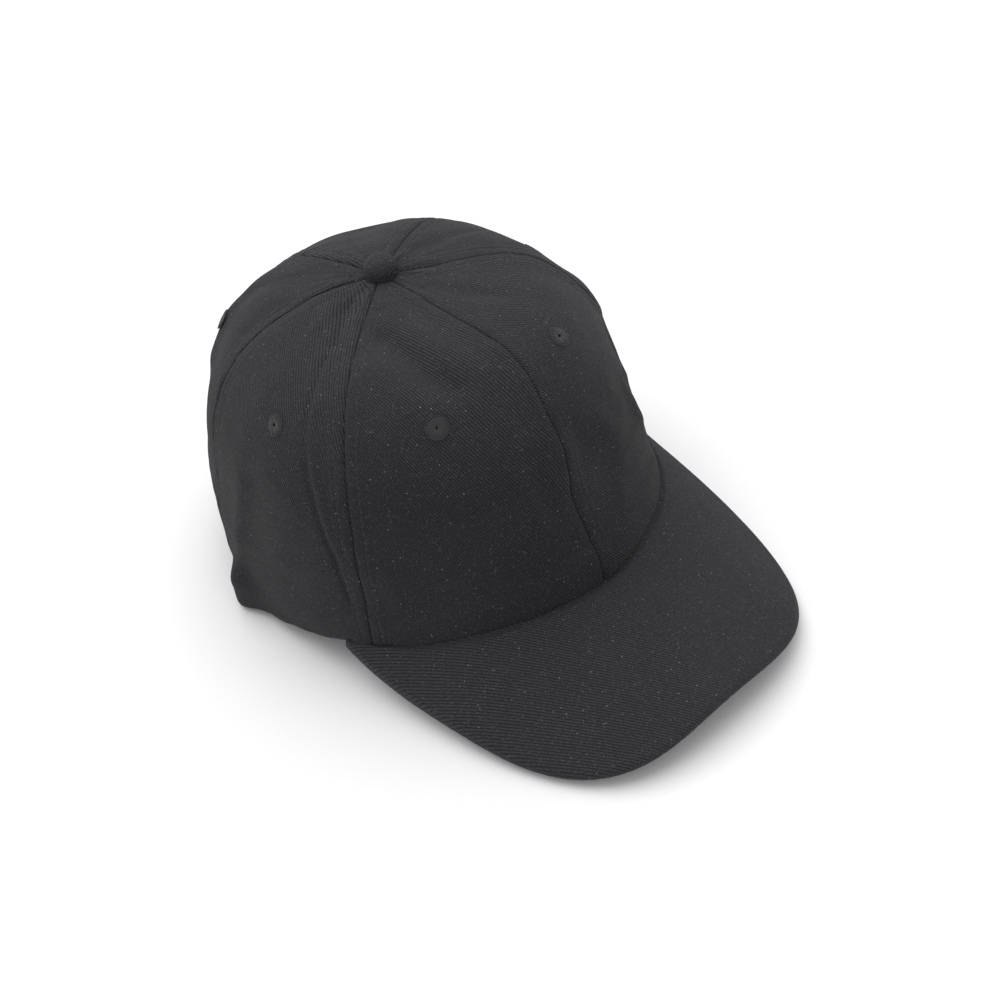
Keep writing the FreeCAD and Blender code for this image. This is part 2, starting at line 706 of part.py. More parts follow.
TAB_INNER = STRAP_RADIUS + size("strap_clearance")
tab_start = size("buckle_angle") - degrees(BAR_X / STRAP_RADIUS)
tab_strip = feature("TabStrip", curved_band(
    TAB_INNER, TAB_INNER + size("tab_thickness"), -size("tab_reach_angle"), -tab_start,
    STRAP_MIDDLE - size("tab_width") / 2, STRAP_MIDDLE + size("tab_width") / 2))
tab_loop = primitive(
    "Cylinder", "TabLoop", place=at_buckle(BAR_X, BAR_OUT, -size("tab_width") / 2),
    Radius="Sizes.bar_radius + Sizes.layer_gap + Sizes.tab_thickness / 2", Height="Sizes.tab_width")
bar_room = primitive(
    "Cylinder", "BarRoom", place=at_buckle(BAR_X, BAR_OUT, -WALL_OUTSIDE),
    Radius="Sizes.bar_radius + Sizes.layer_gap")
bar_room.Height = 2 * WALL_OUTSIDE
tab_solid = combine("Fuse", "TabSolid", tab_strip, tab_loop)
node(combine("Cut", "Tab", tab_solid, bar_room), "buckle_tab")

# ---------------------------------------------------------------- checks and export
doc.recompute()
faults = [item.Name for item in doc.Objects if "Invalid" in item.State or "Error" in item.State]
for item in NODES:
    if item.Shape.isNull() or not item.Shape.isValid() or not item.Shape.Solids:
        faults.append(item.Label)
if faults:
    raise RuntimeError("failed objects: " + ", ".join(faults))

os.makedirs("parts", exist_ok=True)
for item in NODES:
    item.Shape.exportStep(f"parts/{item.Label}.step")
    box = item.Shape.BoundBox
    print(f"{item.Label:28s} {len(item.Shape.Solids)} solid {item.Shape.Volume:10.1f} mm3  "
          f"x {box.XMin:7.1f} {box.XMax:7.1f}  y {box.YMin:7.1f} {box.YMax:7.1f}  "
          f"z {box.ZMin:7.1f} {box.ZMax:7.1f}")
pin_at = BUCKLE_PLACE.multVec(Vector(PIN_X, PIN_OUT, 0))
print(f"strap centre y {STRAP_CENTRE:.3f} radius {STRAP_RADIUS:.3f}, "
      f"lever pin {pin_at.x:.3f} {pin_at.y:.3f} {pin_at.z:.3f}")
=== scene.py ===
# %% [markdown]
# # A soft black baseball cap
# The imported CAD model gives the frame, the hard pieces and the joints.  This script builds the cloth around
# it: six sewn twill panels, a curved brim, stitched eyelets, a covered button, the inner bands, the strap.

# %% Load the frame
import math

import bmesh
import bpy
import numpy as np
from mathutils import Matrix, Vector
from mathutils.bvhtree import BVHTree


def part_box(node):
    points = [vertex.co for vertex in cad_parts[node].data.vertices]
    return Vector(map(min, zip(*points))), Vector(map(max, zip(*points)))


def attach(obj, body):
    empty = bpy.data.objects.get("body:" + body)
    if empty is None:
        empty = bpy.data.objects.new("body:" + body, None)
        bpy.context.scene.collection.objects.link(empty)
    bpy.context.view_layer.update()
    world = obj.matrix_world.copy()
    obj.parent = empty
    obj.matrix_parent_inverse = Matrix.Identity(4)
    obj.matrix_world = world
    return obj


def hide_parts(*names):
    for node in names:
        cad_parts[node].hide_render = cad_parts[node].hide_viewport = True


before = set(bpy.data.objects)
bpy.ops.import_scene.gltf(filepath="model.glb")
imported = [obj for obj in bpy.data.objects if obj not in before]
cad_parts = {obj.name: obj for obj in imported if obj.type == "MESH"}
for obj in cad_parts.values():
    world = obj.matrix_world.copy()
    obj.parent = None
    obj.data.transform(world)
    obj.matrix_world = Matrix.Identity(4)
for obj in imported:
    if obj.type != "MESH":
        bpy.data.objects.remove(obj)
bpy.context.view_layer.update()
MM = 0.001

# %% [markdown]
# ## The crown's surface
# The crown is one surface in two numbers: the angle round the head from the front, in degrees, and the rise
# from the rim (0) to the apex (1).  It repeats the CAD model's curve, so that the cloth lies on its solids.

# %% Crown sizes
HALF_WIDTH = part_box("side_panel_left")[1].x
FRONT_DEPTH = -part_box("front_panel_left")[0].y
REAR_DEPTH = 102 * MM
CROWN_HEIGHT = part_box("front_panel_left")[1].z
APEX_BACK = 10 * MM
FRONT_SEAM = 61.7
REAR_SEAM = 117.8
RIM_LOW_ANGLE = 114.0
REAR_RIM = 13 * MM
BRIM_END = 69.0
BRIM_SEAM_HEIGHT = 34.2 * MM
BRIM_SLOPE = 0.28
BRIM_CURVE = 119.5 * MM
BRIM_LENGTH = 60 * MM
BRIM_CORNER = 3.03
BRIM_RIM_DROP = 1.5 * MM
PANEL_CLOTH = 1.0 * MM
ARCH_HALF = 38 * MM
ARCH_SPRING = 15 * MM
BUTTON_HOLE = 3 * MM


# %% Crown surface
def blend(front, rear, angle):
    share = (1 + np.cos(np.radians(angle))) / 2
    return rear + (front - rear) * share


def signed_power(value, power):
    return np.sign(value) * np.abs(value) ** power


def plan(angle):
    """The rim in plan, a superellipse that is squarer behind."""
    power = 2 / blend(1.9, 2.2, angle)
    c = np.cos(np.radians(angle))
    s = np.sin(np.radians(angle))
    depth = np.where(c > 0, FRONT_DEPTH, REAR_DEPTH)
    return HALF_WIDTH * signed_power(s, power), -depth * signed_power(c, power)


def brim_height(x, y):
    drop = BRIM_CURVE - np.sqrt(BRIM_CURVE ** 2 - x ** 2)
    return BRIM_SEAM_HEIGHT + BRIM_SLOPE * (y + FRONT_DEPTH) - drop


def rim_height(angle):
    turn = np.abs((angle + 180) % 360 - 180)
    seam = brim_height(*plan(np.minimum(turn, BRIM_END))) - BRIM_RIM_DROP
    fall = np.clip((RIM_LOW_ANGLE - turn) / (RIM_LOW_ANGLE - BRIM_END), 0, 1) ** 1.3
    share = np.clip((turn - RIM_LOW_ANGLE) / (180 - RIM_LOW_ANGLE), 0, 1)
    rear = REAR_RIM * share ** 2 * (3 - 2 * share)
    return np.where(turn <= BRIM_END, seam, seam * fall + rear)


def wall(angle, rise):
    """Points of the crown's outer face, for arrays of angle and rise."""
    angle, rise = np.broadcast_arrays(angle, rise)
    x, y = plan(angle)
    c = np.cos(np.radians(angle))
    swell = np.where(c > 0, -0.07 * c, -0.04 * c)
    quarter = rise * math.pi / 2
    reach = np.cos(quarter) ** (2 / blend(4.6, 2.8, angle))
    reach = reach + swell * 6.75 * rise * (1 - rise) ** 2
    lift = np.sin(quarter) ** (2 / blend(2.35, 2.15, angle))
    low = rim_height(angle)
    up = low + (CROWN_HEIGHT - low) * lift
    return np.stack([x * reach, y * reach + APEX_BACK * (1 - reach), up], axis=-1)


RISES = 1 - (1 - np.linspace(0, 1, 261)[:-1]) ** 3


def meridian(angle):
    """Lengths above the rim at each of RISES, and the length at which the button's hole begins."""
    points = wall(np.full(len(RISES), angle), RISES)
    steps = np.linalg.norm(np.diff(points, axis=0), axis=1)
    lengths = np.concatenate([[0], np.cumsum(steps)])
    radius = np.hypot(points[:, 0], points[:, 1] - APEX_BACK)
    return points, lengths, lengths[np.argmax(radius < BUTTON_HOLE)]


def arch_start(points, lengths):
    """The length at which a meridian leaves the rear arch, 0 where it never meets it."""
    gap = np.hypot(points[:, 0], np.maximum(points[:, 2] - ARCH_SPRING, 0)) - ARCH_HALF
    in_arch = (gap < 0) & (points[:, 1] > 0) & (points[:, 2] < ARCH_SPRING + ARCH_HALF)
    if not in_arch.any():
        return 0.0
    last = np.nonzero(in_arch)[0].max()
    return float(np.interp(0, gap[last:last + 2], lengths[last:last + 2]))


def lay(angles, low, high, rows, arch=False):
    """A grid of points on the crown between two lengths above the rim, None meaning the button's hole."""
    grid = []
    length_grid = []
    for angle in angles:
        points, lengths, end = meridian(angle)
        start = max(low, arch_start(points, lengths)) if arch else low
        stop = end if high is None else high
        stations = np.linspace(start, stop, rows)
        rises = np.interp(stations, lengths, RISES)
        grid.append(wall(np.full(rows, angle), rises))
        length_grid.append(stations)
    return np.array(grid), np.array(length_grid)


def grid_normals(grid):
    """Unit normals of a grid of points, pointing away from the middle of the head."""
    across = np.gradient(grid, axis=0)
    up = np.gradient(grid, axis=1)
    normal = np.cross(across, up)
    normal /= np.linalg.norm(normal, axis=-1, keepdims=True) + 1e-12
    outward = grid - np.array([0, 0, 0.045])
    sign = np.sign(np.sum(normal * outward, axis=-1, keepdims=True))
    return normal * sign


def on_crown(angle, length):
    """One point of the crown from its angle and its length above the rim."""
    points, lengths, _ = meridian(angle)
    return wall(np.array([angle]), np.interp([length], lengths, RISES))[0]


# %% [markdown]
# ## Folds, dents and seams
# Worn cloth is never a clean surface.  Each fold is a stroke: a line on the crown, a width and a depth.
# The seams sink between two soft ridges of turned-in cloth, and puckers run off them.

# %% Noise
def waves(points, length, seed, count=14):
    """Smooth noise of about -1 to 1 with a given wavelength."""
    rng = np.random.default_rng(seed)
    direction = rng.normal(size=(count, 3))
    direction /= np.linalg.norm(direction, axis=1, keepdims=True)
    speed = 2 * math.pi / (length * rng.uniform(0.7, 1.5, count))
    phase = rng.uniform(0, 2 * math.pi, count)
    total = np.zeros(points.shape[:-1])
    for way, rate, shift in zip(direction, speed, phase):
        total += np.sin(points @ way * rate + shift)
    return total / math.sqrt(count / 2) / 1.6


def smooth(value, low, high):
    share = np.clip((value - low) / (high - low), 0, 1)
    return share * share * (3 - 2 * share)


# %% Strokes
# (angle and length above the rim in mm, for each point of the line), width mm, depth mm
STROKES = [
    # pressed crease down the right side panel, and the soft ridge in front of it
    ([(-75.5, 122), (-75, 105), (-73.5, 78), (-70.5, 57), (-67.5, 41), (-66, 22)], 1.4, -0.75),
    ([(-73.2, 105), (-71.4, 78), (-68.6, 57), (-65.8, 41)], 2.4, 0.3),
    # valley across the top of the right front panel, and the swell beside it
    ([(-46, 130), (-39, 122), (-31, 109), (-25, 99)], 5.5, -2.8),
    ([(-30, 130), (-22, 114), (-15, 103)], 6.5, 1.1),
    ([(-54, 116), (-44, 104), (-36, 94)], 6.5, 1.2),
    ([(-14, 88), (-10, 78)], 7.0, -0.8),
    # dents beside the front seam
    ([(-11.5, 62), (-10.5, 52), (-8, 38)], 4.2, -1.5),
    ([(-15.5, 60), (-14, 48), (-12, 38)], 4.0, 0.7),
    ([(6.5, 64), (8, 50)], 5.5, -1.0),
    ([(13, 50), (15, 40)], 10.0, -2.2),
    ([(20, 58), (24, 46)], 6.0, 0.8),
    # folds where the left front wall bulges
    ([(59, 62), (58, 42), (55, 18)], 9.0, -5.5),
    ([(46, 54), (48, 34)], 3.0, -1.2),
    ([(41, 52), (43, 34)], 3.6, 0.9),
    ([(65, 72), (69, 80)], 11.0, 2.0),
    ([(76, 95), (88, 108)], 12.0, -1.2),
    # puckers that run off the button
    ([(-85, 152), (-79, 141), (-74, 128)], 2.6, -1.2),
    ([(-95, 150), (-92, 138)], 3.0, 0.6),
    ([(20, 146), (25, 132), (29, 118)], 3.2, -0.9),
    ([(-50, 146), (-48, 134)], 3.0, -0.7),
    ([(95, 150), (93, 130)], 3.4, -0.9),
    ([(150, 140), (146, 122)], 9.0, -2.0),
    ([(-122, 142), (-124, 122)], 8.0, -1.7),
    ([(-150, 132), (-152, 112)], 7.0, -1.0),
    # the rear right corner of the rim stands out, below a soft ridge and between hollows
    ([(-106, 0), (-105, 12)], 9.0, 6.5),
    ([(-105, 18), (-103, 44), (-99, 66)], 5.0, 1.0),
    ([(-126, 0), (-124, 22)], 8.0, -1.2),
    ([(-88, 0), (-82, 0)], 6.0, -1.2),
    ([(-78, 0), (-72, 0)], 6.0, -0.8),
    ([(-143, 84), (-149, 93)], 8.0, 2.6),
    ([(-154, 100), (-158, 104)], 9.0, 1.2),
    ([(-120, 56), (-120, 48)], 10.0, -1.0),
    ([(158, 120), (178, 111)], 12.0, -1.8),
    ([(126, 4), (122, 22)], 9.0, -1.6),
    # loose hollows round the sides and the back
    ([(-92, 62), (-96, 44)], 12.0, -1.3),
    ([(88, 70), (94, 40)], 13.0, -1.6),
    ([(76, 96), (73, 60), (68, 34)], 1.6, -0.5),
    ([(140, 92), (136, 60)], 12.0, -1.5),
    ([(-142, 90), (-138, 58)], 12.0, -1.4),
    ([(-58, 40), (-52, 24)], 9.0, 0.8),
]
STROKE_LINES = [
    (np.array([on_crown(angle, length * MM) for angle, length in line]), width * MM, depth * MM)
    for line, width, depth in STROKES
]


def strokes(points):
    """The depth of every stroke, added up, at each point."""
    total = np.zeros(points.shape[:-1])
    for line, width, depth in STROKE_LINES:
        nearest = np.full(points.shape[:-1], 1.0)
        for start, stop in zip(line[:-1], line[1:]):
            way = stop - start
            share = np.clip((points - start) @ way / (way @ way), 0, 1)
            gap = np.linalg.norm(points - start - share[..., None] * way, axis=-1)
            nearest = np.minimum(nearest, gap)
        total += depth * np.exp(-(nearest / width) ** 2)
    return total


# (angle, length above the rim in mm, sideways pull in mm, width in mm): seams that do not run quite straight
PULLS = [(0, 96, 3.2, 22), (0, 62, 1.8, 14), (-2, 38, -2.0, 12), (62, 112, 5.0, 26), (-178, 134, 7.5, 26)]


def drift(points):
    """How far the cloth is pulled sideways, which bends the seams."""
    total = np.zeros(points.shape)
    for angle, length, pull, width in PULLS:
        way = on_crown(angle + 1, length * MM) - on_crown(angle - 1, length * MM)
        way *= pull * MM / np.linalg.norm(way)
        gap = np.linalg.norm(points - on_crown(angle, length * MM), axis=-1)
        total += way * np.exp(-(gap / (width * MM)) ** 2)[..., None]
    return total


STITCH_GAP = 4.6 * MM


def seam_profile(gap):
    """Height of the cloth at a distance from a seam: a valley, the turned-in edge and its stitch line."""
    valley = -0.6 * MM * np.exp(-(gap / (0.36 * MM)) ** 2)
    ridge = 0.28 * MM * smooth(gap, 0.3 * MM, 2.0 * MM) * (1 - smooth(gap, 4.8 * MM, 7.4 * MM))
    stitch = -0.22 * MM * np.exp(-((gap - STITCH_GAP) / (0.6 * MM)) ** 2)
    return valley + ridge + stitch


def round_fold(up, height, width, depth):
    """A soft fold that runs round the crown at a height above the rim, all three sizes in mm."""
    return depth * MM * np.exp(-((up - height * MM) / (width * MM)) ** 2)


def crown_relief(base, up, seam_gap, top_gap):
    """How far the worn cloth stands off the clean surface."""
    relief = strokes(base)
    relief += 0.55 * MM * waves(base, 60 * MM, 3) + 0.16 * MM * waves(base, 17 * MM, 5)
    pucker = waves(base, 9 * MM, 11) * np.exp(-seam_gap / (7 * MM))
    relief += 0.22 * MM * pucker + seam_profile(seam_gap)
    angle = np.arctan2(base[..., 0], -(base[..., 1] - APEX_BACK))
    spokes = np.sin(11 * angle + 0.6) + 0.8 * np.sin(17 * angle + 2.1) + 0.6 * np.sin(29 * angle)
    relief += 0.28 * MM * spokes * np.exp(-top_gap / (16 * MM)) * smooth(top_gap, 2 * MM, 9 * MM)
    ahead = np.cos(np.arctan2(base[..., 0], -base[..., 1]))
    facing = np.clip(ahead, 0, 1)
    relief += round_fold(up, 36, 3.5, 0.45)  # the sweatband's upper edge, felt through the cloth
    relief += facing * (round_fold(up, 13, 4, 0.7) - round_fold(up, 20, 4, 0.6))
    relief -= round_fold(up, 0, 0.9, 0.45)
    relief -= smooth(ahead, 0.42, 0.6) * round_fold(up, 0, 2.3, 1.0)  # drawn in at the brim's seam
    return relief


# %% [markdown]
# ## Meshes
# Every cloth piece is a closed sheet: an outer grid, an inner grid a cloth's thickness below it, and a
# border that joins them.  Its UV map is the flat cloth in metres, which the weave follows.

# %% Mesh helpers
scene = bpy.context.scene


def link(name, mesh, material, body="cap"):
    item = bpy.data.objects.new(name, mesh)
    scene.collection.objects.link(item)
    mesh.materials.append(material)
    mesh.shade_smooth()
    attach(item, body)
    return item


def mesh_from(name, points, quads, **maps):
    """A mesh from arrays of points and quads, and UV maps given as one pair of numbers per point."""
    mesh = bpy.data.meshes.new(name)
    mesh.vertices.add(len(points))
    mesh.vertices.foreach_set("co", np.asarray(points, np.float32).ravel())
    mesh.loops.add(quads.size)
    mesh.loops.foreach_set("vertex_index", quads.ravel().astype(np.int32))
    mesh.polygons.add(len(quads))
    mesh.polygons.foreach_set("loop_start", np.arange(0, quads.size, 4, dtype=np.int32))
    for key, uv in maps.items():
        layer = mesh.uv_layers.new(name=key)
        layer.data.foreach_set("uv", np.asarray(uv, np.float32)[quads.ravel()].ravel())
    mesh.update(calc_edges=True)
    mesh.validate()
    return mesh


def grid_quads(columns, rows):
    index = np.arange(columns * rows).reshape(columns, rows)
    return np.stack([index[:-1, :-1], index[1:, :-1], index[1:, 1:], index[:-1, 1:]], -1).reshape(-1, 4)


def border_loop(columns, rows):
    index = np.arange(columns * rows).reshape(columns, rows)
    return np.concatenate([index[:-1, 0], index[-1, :-1], index[:0:-1, -1], index[0, :0:-1]])


HOLE_REACH = 1  # the hole takes the quads within this many rows and columns of its middle


def ring_round(hole, rows, reach):
    """The grid points of the square ring round a hole, in order."""
    span = np.arange(-reach, reach)
    ring = [(k, -reach) for k in span] + [(reach, k) for k in span]
    ring += [(-k, reach) for k in span] + [(-reach, -k) for k in span]
    return np.array([(hole[0] + i) * rows + hole[1] + j for i, j in ring])


def punch(grid, hole, radius):
    """Moves the points round a hole so that its square edge becomes a circle."""
    i, j = hole
    reach = HOLE_REACH + 3
    patch = grid[i - reach:i + reach + 1, j - reach:j + reach + 1]
    ring = np.maximum(*np.abs(np.meshgrid(*[np.arange(-reach, reach + 1)] * 2, indexing="ij")))
    offset = patch - grid[i, j]
    away = np.linalg.norm(offset, axis=-1)
    share = np.clip((ring - HOLE_REACH) / (reach - HOLE_REACH), 0, 1)
    wanted = radius + (away - radius) * share
    scale = np.where(away > 0, wanted / np.maximum(away, 1e-9), 1)
    patch[...] = grid[i, j] + offset * scale[..., None]


def sheet_mesh(name, outer, inner, hole=None, **maps):
    """A closed sheet between two grids of points, its faces turned outwards."""
    columns, rows = outer.shape[:2]
    count = columns * rows
    top = grid_quads(columns, rows)
    loop = border_loop(columns, rows)
    after = np.roll(loop, -1)
    sides = [np.stack([loop, loop + count, after + count, after], -1)]
    if hole:
        column, row = np.divmod(top[:, 0], rows)
        reach = HOLE_REACH
        inside = (column >= hole[0] - reach) & (column < hole[0] + reach)
        inside &= (row >= hole[1] - reach) & (row < hole[1] + reach)
        top = top[~inside]
        loop = ring_round(hole, rows, reach)
        after = np.roll(loop, -1)
        sides.append(np.stack([loop, after, after + count, loop + count], -1))
    quads = np.concatenate([top, top[:, ::-1] + count, *sides])
    middle = outer[columns // 2, rows // 2] - inner[columns // 2, rows // 2]
    across = outer[columns // 2 + 1, rows // 2] - outer[columns // 2, rows // 2]
    along = outer[columns // 2, rows // 2 + 1] - outer[columns // 2, rows // 2]
    if np.dot(np.cross(across, along), middle) < 0:
        quads = quads[:, ::-1]
    points = np.concatenate([outer.reshape(-1, 3), inner.reshape(-1, 3)])
    flats = {key: np.concatenate([uv.reshape(-1, 2)] * 2) for key, uv in maps.items()}
    mesh = mesh_from(name, points, quads, **flats)
    spare = np.nonzero(np.bincount(quads.ravel(), minlength=len(points)) == 0)[0]
    if len(spare):
        shell = bmesh.new()
        shell.from_mesh(mesh)
        shell.verts.ensure_lookup_table()
        for vertex in [shell.verts[k] for k in spare]:
            shell.verts.remove(vertex)
        shell.to_mesh(mesh)
        shell.free()
    return mesh


def flat_cloth(grid, up):
    """The UV of a crown grid: distance from the middle column, and length above the rim."""
    steps = np.linalg.norm(np.diff(grid, axis=0), axis=-1)
    across = np.concatenate([np.zeros((1, grid.shape[1])), np.cumsum(steps, axis=0)])
    middle = across[grid.shape[0] // 2]
    return np.stack([across - middle, up], -1), across


# %% [markdown]
# ## Materials
# Shader maths is written as Python expressions: a Term wraps a socket, and + - * / < > make Math nodes, so
# the twill's rule reads as a formula.  Every other node comes from Shader.node, which takes the node's kind,
# its settings and its sockets.

# %% Shader terms
class Term:
    """A socket of a shader graph, which Python's operators turn into Math nodes."""

    def __init__(self, shader, socket):
        self.shader = shader
        self.socket = socket

    def maths(self, operation, *values):
        return self.shader.node("Math", {"operation": operation}, dict(enumerate(values)))

    def __add__(self, other):
        return self.maths("ADD", self, other)

    __radd__ = __add__

    def __sub__(self, other):
        return self.maths("SUBTRACT", self, other)

    def __rsub__(self, other):
        return self.maths("SUBTRACT", other, self)

    def __mul__(self, other):
        return self.maths("MULTIPLY", self, other)

    __rmul__ = __mul__

    def __truediv__(self, other):
        return self.maths("DIVIDE", self, other)

    def __gt__(self, limit):
        return self.maths("GREATER_THAN", self, limit)

    def __lt__(self, limit):
        return self.maths("LESS_THAN", self, limit)

    def __abs__(self):
        return self.maths("ABSOLUTE", self)

    def __floor__(self):
        return self.maths("FLOOR", self)

    def sin(self):
        return self.maths("SINE", self)

    def clamp(self):
        return self.maths("MAXIMUM", self.maths("MINIMUM", self, 1.0), 0.0)

    def parts(self):
        """The three numbers of a vector or colour socket."""
        first = self.shader.node("SeparateXYZ", {}, {0: self})
        return [Term(self.shader, socket) for socket in first.socket.node.outputs]


class Shader:
    """A material whose Principled node is fed by terms."""

    def __init__(self, name, **constants):
        self.material = bpy.data.materials.new(name)
        self.material.use_nodes = True
        self.tree = self.material.node_tree
        self.surface = self.tree.nodes["Principled BSDF"]
        self.fill(self.surface, {key.replace("_", " "): value for key, value in constants.items()})

    def fill(self, node, sockets):
        """Link or set sockets, found by name or by number."""
        for key, value in sockets.items():
            if isinstance(value, Term):
                self.tree.links.new(value.socket, node.inputs[key])
            else:
                node.inputs[key].default_value = value

    def node(self, kind, settings, sockets, out=0):
        """Any node: its settings are set first, then the values or links of its sockets."""
        made = self.tree.nodes.new("ShaderNode" + kind)
        for key, value in settings.items():
            setattr(made, key, value)
        self.fill(made, sockets)
        return Term(self, made.outputs[out])

    def place(self, stretch=(1, 1, 1)):
        """The point being shaded, in metres of the cap's own frame."""
        spot = self.node("TexCoord", {}, {}, "Object")
        return self.node("Mapping", {}, {"Vector": spot, "Scale": stretch})

    def cloth(self):
        """The flat cloth's two coordinates, in millimetres."""
        u, v, _ = self.node("UVMap", {"uv_map": "cloth"}, {}).parts()
        return 1000 * u, 1000 * v

    def noise(self, scale, detail=2.0, stretch=(1, 1, 1)):
        return self.node("TexNoise", {}, {
            "Vector": self.place(stretch), "Scale": scale, "Detail": detail})

    def specks(self, scale, radius, share):
        """Round specks in some cells of a Voronoi pattern."""
        sockets = {"Vector": self.place(), "Scale": scale}
        picked = self.node("TexVoronoi", {}, sockets, "Color").parts()[0] < share
        return (self.node("TexVoronoi", {}, sockets, "Distance") < radius) * picked

    def mix(self, factor, low, high):
        """A colour between two colours."""
        return self.node("Mix", {"data_type": "RGBA"}, {"Factor": factor, 6: low, 7: high}, 2)

    def feed(self, **terms):
        self.fill(self.surface, {key.replace("_", " "): term for key, term in terms.items()})

    def bump(self, height, distance):
        self.feed(Normal=self.node("Bump", {}, {"Height": height, "Distance": distance, "Strength": 1.0}))


# %% [markdown]
# ## Cloth and thread
# Twill is woven so that its threads step sideways, which shows as slanted ribs of short floats.  A sine
# across the flat cloth gives the ribs and a second one along them the floats.  Faded patches, fuzz and
# specks of lint make it old.  On the crown, painted light makes the cloth lighter higher up, as if lit
# from above.  The ribs drive colour, roughness and bump together, so the three agree.

# %% Cloth materials
BLACK_DEEP = (0.012, 0.012, 0.0135, 1)
BLACK_TIP = (0.041, 0.041, 0.0462, 1)
LINT = (0.20, 0.20, 0.205, 1)
# painted top light: the crown's cloth is painted lighter from the first height up, over the second, both in
# millimetres
TOP_LIGHT_LOW, TOP_LIGHT_SPAN = 84, 42


def twill(name, turn, pitch=1.0, tip=BLACK_TIP, lint=0.26, depth=0.17, painted_top_light=False):
    """Black cotton twill: slanted ribs of short floats, a faded patchiness, fuzz and specks of lint, and
    optionally painted light that makes the cloth lighter higher up.
    """
    shader = Shader(name, Roughness=0.92, Sheen_Weight=0.05, Sheen_Roughness=0.5, Specular_IOR_Level=0.14)
    u, v = shader.cloth()
    along = u * math.cos(turn) + v * math.sin(turn)
    across = v * math.cos(turn) - u * math.sin(turn)
    sway = shader.noise(260, 3.0) - 0.5
    ribs = across / pitch + 0.35 * sway
    rib = abs((math.pi * ribs).sin())
    step = 0.37 * math.floor(ribs)
    floats = abs((math.pi * (along / (1.25 * pitch) + step)).sin())
    fuzz = shader.noise(3500, 2.0)
    glint = 1.5 * shader.noise(1100, 1.0) + 0.25
    weave = (0.72 * rib + 0.36 * floats * rib) * glint + 0.22 * fuzz
    patch = shader.noise(22, 4.0) - 0.5
    lit_weave = weave
    # painted light: the crown's weave is painted darker low down and lighter high up, as if lit from above
    if painted_top_light:
        height = 1000 * shader.place().parts()[2]
        lit_weave = weave * (0.62 * ((height - TOP_LIGHT_LOW) / TOP_LIGHT_SPAN).clamp() + 0.42)
    ground = shader.mix((lit_weave + 0.4 * patch - 0.06).clamp(), BLACK_DEEP, tip)
    hairs = shader.noise(1900, 1.0, (1, 0.35, 0.6)) > 0.73
    hairs = hairs + (shader.noise(1700, 1.0, (0.35, 1, 1)) > 0.735)
    specks = shader.specks(430, 0.09, lint) + 0.5 * shader.specks(1300, 0.15, lint * 2.2) + 0.28 * hairs
    shader.feed(Base_Color=shader.mix(specks.clamp(), ground, LINT), Roughness=(0.98 - 0.1 * weave).clamp())
    shader.bump(weave, depth * MM)
    return shader.material


def thread(name, tone, roughness=0.7):
    """Twisted sewing thread."""
    shader = Shader(name, Roughness=roughness, Sheen_Weight=0.15)
    fine = shader.noise(2600, 3.0)
    dark = [0.45 * part for part in tone]
    shader.feed(Base_Color=shader.mix(fine, (*dark, 1), (*tone, 1)))
    shader.bump(fine, 0.12 * MM)
    return shader.material


# the crown's twill carries painted top light: lighter higher up, darker on the lower wall
panel_cloth = twill("crown_twill", math.radians(-60), painted_top_light=True)
brim_cloth = twill("brim_twill", math.radians(-58), pitch=0.96, tip=(0.0385, 0.038, 0.0435, 1), depth=0.085)
button_cloth = twill("button_twill", math.radians(12), pitch=0.85)
tape_cloth = twill("tape_twill", math.radians(60), pitch=0.9, lint=0.01)
band_cloth = twill("sweatband_twill", math.radians(40), pitch=0.9, lint=0.01)
black_thread = thread("black_thread", (0.03, 0.03, 0.033))
eyelet_thread = thread("eyelet_thread", (0.029, 0.029, 0.033))

# %% [markdown]
# ## Crown panels
# The crown is six pieces of twill sewn edge to edge.  A cloth simulation could drape them, but the folds
# here have to fall in known places, so each panel is a grid laid on the clean surface and then moved along
# its normal by the worn cloth's relief.  Columns crowd towards the seams, where the cloth turns in sharply,
# and are wider apart in the middle.  A ventilation hole is punched where its eyelet sits.

# %% Panels
PANEL_ENDS = {"front": (0.0, FRONT_SEAM), "side": (FRONT_SEAM, REAR_SEAM), "back": (REAR_SEAM, 180.0)}
SIDES = {"left": 1, "right": -1}
PANEL_COLUMNS = 131
PANEL_ROWS = 176
EDGE_CROWDING = 0.78
EYELET_HOLE = 1.25 * MM
# how far some eyelets were sewn off their marks, in mm
EYELET_STRAYS = {
    "eyelet_front_right": (-4.1, 0.6, -0.8), "eyelet_front_left": (-6.7, -0.2, 2.0),
    "eyelet_side_right": (-0.6, -1.6, -1.4),
}


def crowded(start, end, count):
    """Numbers from start to end that lie closer together near both ends."""
    share = np.linspace(0, 1, count)
    share = share - EDGE_CROWDING * np.sin(2 * math.pi * share) / (2 * math.pi)
    return start + (end - start) * share


def worn(base, up, seam_gap):
    """The worn cloth's outer face over a grid of clean crown points, and its normals."""
    normal = grid_normals(base)
    top_gap = np.maximum(np.hypot(base[..., 0], base[..., 1] - APEX_BACK) - BUTTON_HOLE, 0)
    relief = crown_relief(base, up, seam_gap, top_gap)
    return base + normal * relief[..., None] + drift(base), normal


def nearest_index(grid, spot, margin):
    """The column and row of the grid point nearest to a place, kept away from the border."""
    inner = grid[margin:-margin, margin:-margin]
    gap = np.linalg.norm(inner - np.array(spot), axis=-1)
    i, j = np.unravel_index(np.argmin(gap), gap.shape)
    return int(i) + margin, int(j) + margin


